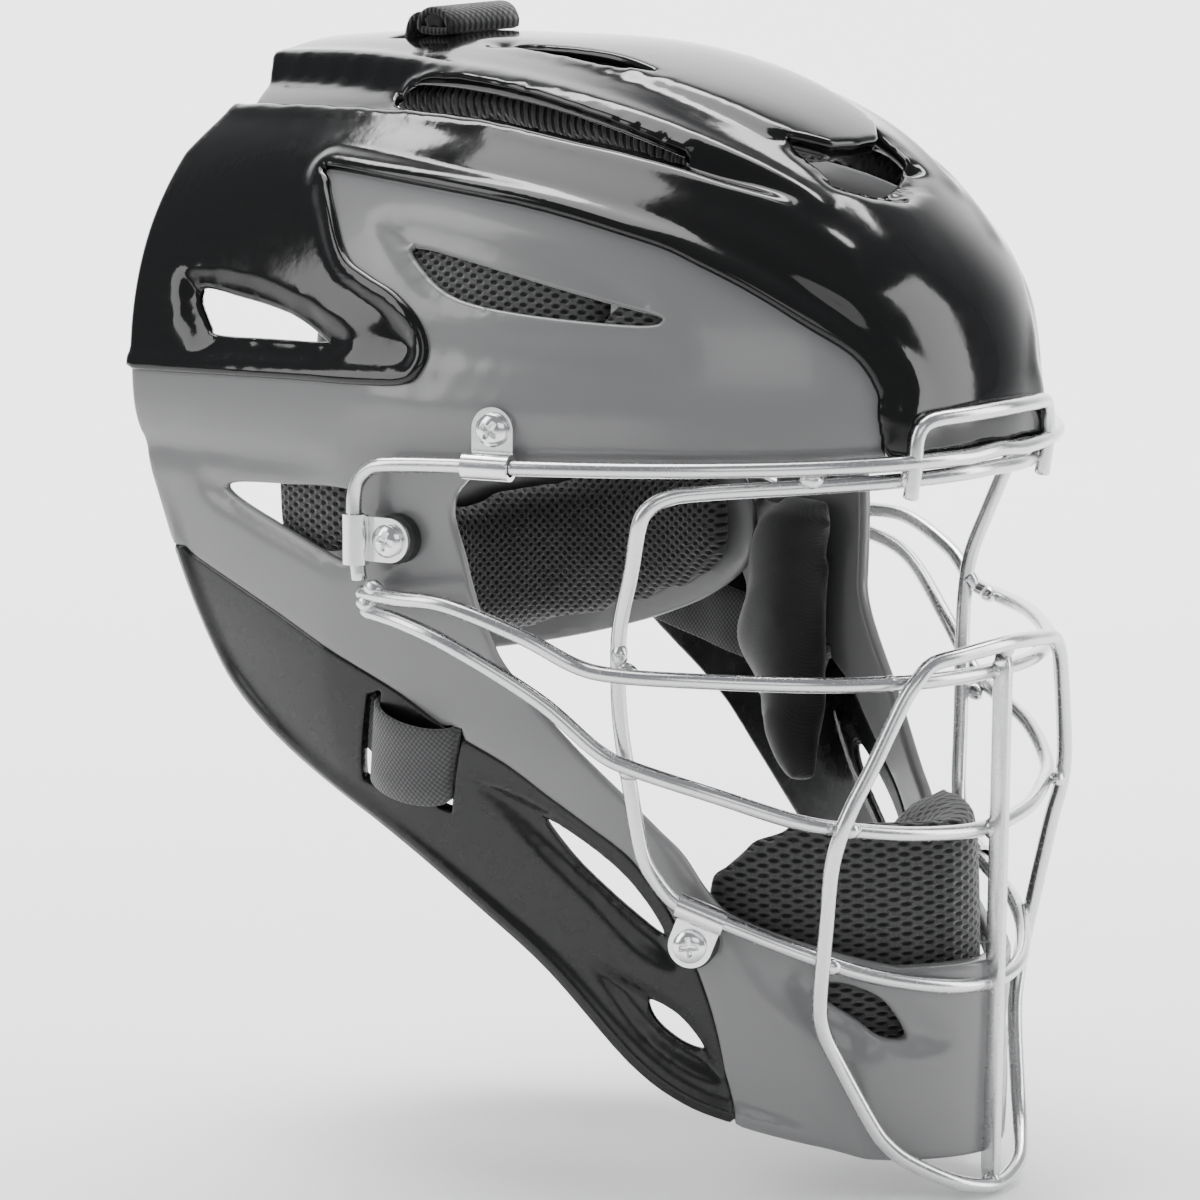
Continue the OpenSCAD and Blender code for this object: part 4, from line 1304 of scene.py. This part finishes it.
def plate_skin(step):
    """Grid round the plate form, open at the front."""
    angle = np.linspace(0, math.pi, 400)
    x = PLATE_HALF_W * np.sign(np.cos(angle)) * np.abs(np.cos(angle)) ** (2 / PLATE_POWER)
    y = PLATE_MID_Y + PLATE_REACH * np.sin(angle) ** (2 / PLATE_POWER)
    x = np.concatenate([[PLATE_HALF_W], x, [-PLATE_HALF_W]])
    y = np.concatenate([[-12], y, [-12]])
    reach = np.concatenate([[0], np.cumsum(np.hypot(np.diff(x), np.diff(y)))])
    around = int(reach[-1] / step)
    stops = np.linspace(0, reach[-1], around)
    x, y = np.interp(stops, reach, x), np.interp(stops, reach, y)
    z = np.arange(PLATE_LOW - 3, TONGUE_TOP + 4, step)
    points = np.stack([np.repeat(x[None], len(z), 0), y[None] + PLATE_LEAN * (z[:, None] - PLATE_LOW),
                       np.repeat(z[:, None], around, 1)], -1)
    i, k = np.meshgrid(np.arange(len(z) - 1), np.arange(around - 1), indexing="ij")
    a = (i * around + k).ravel()
    tris = np.concatenate([np.stack([a, a + 1, a + around + 1], 1),
                           np.stack([a, a + around + 1, a + around], 1)])
    points = to_form(points.reshape(-1, 3), 3, plate_value)
    return points, tris


def plate_room(shrink):
    def room(p):
        wing = signed_far(side_of(p), WING)
        box = np.minimum(np.minimum(TONGUE_HALF - np.abs(p[:, 0]), TONGUE_TOP - p[:, 2]),
                         p[:, 2] - PLATE_LOW)
        corner = np.hypot(np.maximum(10 - (TONGUE_HALF - np.abs(p[:, 0])), 0),
                          np.maximum(10 - (TONGUE_TOP - p[:, 2]), 0))
        box = np.minimum(box, 10 - corner)
        tongue = np.where(p[:, 1] > 40, box, -FAR)
        blend = np.maximum(8 - np.abs(wing - tongue), 0) / 8
        return np.maximum(wing, tongue) + blend * blend * 2.0 - shrink
    return room


def build_back_plate():
    skin = plate_skin(1.8)
    step = 1.8
    points, faces = clip(*skin, plate_room(1.2), step, plate_value)
    room = plate_room(0.0)(points)
    bead_line = 0.9 * np.exp(-(((room - 4.0) / 2.0) ** 2))
    ribs = 0.9 * smooth_step((2.6 - np.abs(np.abs(points[:, 0]) - 22.0)) / 1.6)
    ribs = ribs * smooth_step((points[:, 2] + 50) / 8) * smooth_step((50 - points[:, 2]) / 8)
    ribs = ribs * (points[:, 1] > 60)
    outer = bead_line + ribs
    plate = new_mesh("back_plate_moulding", *thick_mesh(points, faces, outer,
                                                        np.full(len(points), -PLATE_WALL), 1.2,
                                                        plate_value))
    finish_piece(plate, GREY_GLOSS, "grey_gloss", "back_plate", "back_plate")
    pad_skin = plate_skin(3.2)

    def channels(p):
        from_centre = np.abs(p[:, 0])
        upright = 3.0 * np.exp(-(((from_centre - 40) / 2.4) ** 2))
        level = 2.5 * np.exp(-(((p[:, 2] + 2) / 2.4) ** 2)) * (from_centre < 30)
        return upright + level

    pad = pad_mesh("back_cushion", plate_room(4.5), 10.5, PLATE_WALL + 0.5, 8.0, channels, 3.2,
                   plate_value, pad_skin)
    pad_piece(pad, MESH_FABRIC, "mesh_fabric", "back_plate", "back_pad")


# ---------------------------------------------------------------------- straps
def ribbon(middle, across, width, thick, closed=False, edge=0.35):
    """Woven band along a line. across holds the direction of its width at each point."""
    middle, across = np.asarray(middle, float), np.asarray(across, float)
    across = across / np.linalg.norm(across, axis=1)[:, None]
    if closed:
        ahead = np.roll(middle, -1, axis=0) - np.roll(middle, 1, axis=0)
    else:
        ahead = np.gradient(middle, axis=0)
    ahead /= np.linalg.norm(ahead, axis=1)[:, None]
    face = np.cross(ahead, across)
    face /= np.linalg.norm(face, axis=1)[:, None]
    h, t = width / 2, thick / 2
    section = [(h - edge, t), (h / 2, t), (0, t), (-h / 2, t), (-h + edge, t), (-h, t - edge),
               (-h, edge - t), (-h + edge, -t),
               (-h / 2, -t), (0, -t), (h / 2, -t), (h - edge, -t), (h, edge - t), (h, t - edge)]
    return sweep(middle, across, face, np.array(section), np.ones(len(middle)), closed)


def band_in_side_view(line, width, thick, spacing=1.6, closed=False):
    line = even_line([(0.0, y, z) for y, z in line], spacing, closed)
    return ribbon(line, np.repeat([[1.0, 0, 0]], len(line), 0), width, thick, closed)


TAB_LOOP = [(43.6, 129.4), (43.9, 131.6), (45.2, 133.5), (47.4, 134.5), (50, 134.6), (52.4, 133.5),
            (53.7, 131.4), (53.7, 129.4),
            (51, 128.9), (46.5, 128.9)]
TAB_CORE = [(45.8, 131.2), (48.8, 132.2), (51.8, 131.1)]
CROWN_STRAP = [(54.2, 133.0), (56.6, 131.8), (57.9, 128.8), (58.9, 125), (61.4, 121.6), (66, 120.4),
               (76, 119.2), (88, 118.1),
               (92.6, 116.4), (95.2, 112), (95.2, 102), (91.6, 84), (87.9, 68), (87.6, 60), (89.2, 42)]


def surface_x(y, z, side):
    """Place on the form, left or right, at a given y and z."""
    q = np.array([[side * 80.0, y, z]])
    for _ in range(8):
        slope = gradient(form_value, q)[0][0]
        q[0, 0] -= float(form_value(q)[0]) / slope
    return q[0]


def build_straps():
    tab = new_mesh("strap_tab_webbing", *gather([band_in_side_view(TAB_LOOP, 31.0, 2.0, 1.2, True),
                                                 band_in_side_view(TAB_CORE, 30.0, 3.2, 1.2)]))
    finish_piece(tab, WEBBING, "webbing", "shell", "strap_tab")
    strap = new_mesh("crown_strap_webbing", *band_in_side_view(CROWN_STRAP, 31.0, 2.0, 1.5))
    finish_piece(strap, WEBBING, "webbing", None, "crown_strap", "top_strap")
    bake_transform(strap)
    for side, sign in (("right", -1), ("left", 1)):
        rear_top, rear_low = np.array([5.6, -44.0]), np.array([10.9, -66.5])
        front_top, front_low = np.array([-15.9, -51.5]), np.array([-10.2, -72.0])
        rows = 34
        middle, across = [], []
        for i in range(rows):
            t = i / (rows - 1)
            blend = 1 - t
            top = rear_top * blend + front_top * t
            low = rear_low * blend + front_low * t
            a, b = surface_x(*top, sign), surface_x(*low, sign)
            lift = -4.4 + 10.6 * math.sin(math.pi * t) ** 0.42
            normal = form_normal(((a + b) / 2)[None])[0]
            middle.append((a + b) / 2 + normal * lift)
            across.append(a - b)
        loop = new_mesh("strap_loop_band_" + side, *ribbon(middle, across, 23.0, 1.5))
        finish_piece(loop, ELASTIC, "elastic", "shell", "strap_loop_" + side)
        route = [(-91.5, 6.8, -51), (-88.4, 13.5, -49), (-84, 22.6, -45.5), (-82.4, 29, -43),
                 (-79.2, 36, -40), (-75.6, 44, -36.5), (-70, 55, -32)]
        line = even_line([(-sign * x, y, z) for x, y, z in route], 1.6)
        tilt = np.repeat([[0.0, 0.16, 1.0]], len(line), 0)
        side_band = new_mesh("side_band_" + side, *ribbon(line, tilt, 20.0, 1.5))
        finish_piece(side_band, ELASTIC, "elastic", None, "side_strap_" + side)
        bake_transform(side_band)


# ------------------------------------------------------------ stage and camera
def build_stage():
    floor_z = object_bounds()[0][2] - 0.0005
    profile = [(-6.0, 0.0)] + [(y, 0.0) for y in (-3, -1, 0, 1.2)]
    for k in range(1, 15):
        a = math.radians(90 * k / 14)
        profile.append((1.2 + 1.2 * math.sin(a), 1.2 * (1 - math.cos(a))))
    profile.append((2.4, 5.0))
    mesh = bpy.data.meshes.new("studio_floor")
    turn = Matrix.Rotation(math.radians(-52), 4, "Z")
    verts = [turn @ Vector((x, y, z)) + Vector((0, 0, floor_z)) for y, z in profile for x in (-6.0, 6.0)]
    mesh.from_pydata(verts, [], [(2 * i, 2 * i + 1, 2 * i + 3,
                                  2 * i + 2) for i in range(len(profile) - 1)])
    floor = bpy.data.objects.new("studio_floor", mesh)
    bpy.context.collection.objects.link(floor)
    mesh.polygons.foreach_set("use_smooth", [True] * len(mesh.polygons))
    mat, tree, shader = node_tree("floor_paint")
    tree.links.new(tint(tree, noise(tree, 3.0), (0.91, 0.91, 0.915), (0.94, 0.94, 0.94)),
                   shader.inputs["Base Color"])
    shader.inputs["Roughness"].default_value = 0.75
    mesh.materials.append(mat)
    floor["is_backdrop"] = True


def area_light(name, place, target, width, height, power):
    data = bpy.data.lights.new(name, "AREA")
    data.shape = "RECTANGLE"
    data.size, data.size_y = width, height
    data.energy = power
    light = bpy.data.objects.new(name, data)
    bpy.context.collection.objects.link(light)
    light.location = place
    light.rotation_euler = (Vector(target) - Vector(place)).to_track_quat("-Z", "Y").to_euler()


AZIMUTH = math.radians(-52.0)
ELEVATION = math.radians(9.0)
CAMERA_DISTANCE = 2.0
TO_CAMERA = Vector((math.sin(AZIMUTH) * math.cos(ELEVATION), -math.cos(AZIMUTH) * math.cos(ELEVATION),
                    math.sin(ELEVATION)))
TO_RIGHT = Vector((math.cos(AZIMUTH), math.sin(AZIMUTH), 0.0))
VIEW_MIDDLE = Vector((-0.00445, -0.00136, -0.0274))


def build_camera():
    data = bpy.data.cameras.new("camera")
    data.lens = 216.0
    data.sensor_width = 36.0
    data.clip_end = 50.0
    camera = bpy.data.objects.new("camera", data)
    bpy.context.collection.objects.link(camera)
    camera.location = VIEW_MIDDLE + TO_CAMERA * CAMERA_DISTANCE
    camera.rotation_euler = (-TO_CAMERA).to_track_quat("-Z", "Y").to_euler()
    bpy.context.scene.camera = camera


def build_lights():
    middle = (0, 0, 0)
    side, front, up = TO_RIGHT, Vector((TO_CAMERA.x, TO_CAMERA.y, 0)).normalized(), Vector((0, 0, 1))
    area_light("overhead", up * 1.9 - front * 0.25 - side * 0.2, middle, 1.5, 1.1, 34)
    area_light("left_bank", -side * 1.5 + front * 0.5 + up * 0.8, middle, 0.7, 1.4, 15)
    area_light("right_bank", side * 1.6 + front * 0.1 + up * 0.5, middle, 0.6, 1.5, 16)
    area_light("front_fill", front * 2.4 + up * 0.9 + side * 0.5, middle, 1.6, 0.9, 9)
    area_light("backdrop_wash", -front * 1.0 + up * 2.2, tuple(-front * 2.6), 3.0, 1.0, 165)
    world = bpy.data.worlds.new("studio")
    bpy.context.scene.world = world
    world.use_nodes = True
    world.node_tree.nodes["Background"].inputs["Color"].default_value = (0.92, 0.95, 1.0, 1)
    world.node_tree.nodes["Background"].inputs["Strength"].default_value = 0.34


PAD_SKIN_STEP = 4.0
PAD_SKIN_POINTS, PAD_SKIN_FACES = form_skin(PAD_SKIN_STEP)
build_shell()
build_cage()
build_fasteners()
build_pads()
build_back_plate()
build_straps()
build_stage()
build_camera()
build_lights()

boxes = {"cad": CAD_BOX, "visual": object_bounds()}
{name: [[float(v) for v in corner] for corner in box] for name, box in boxes.items()}
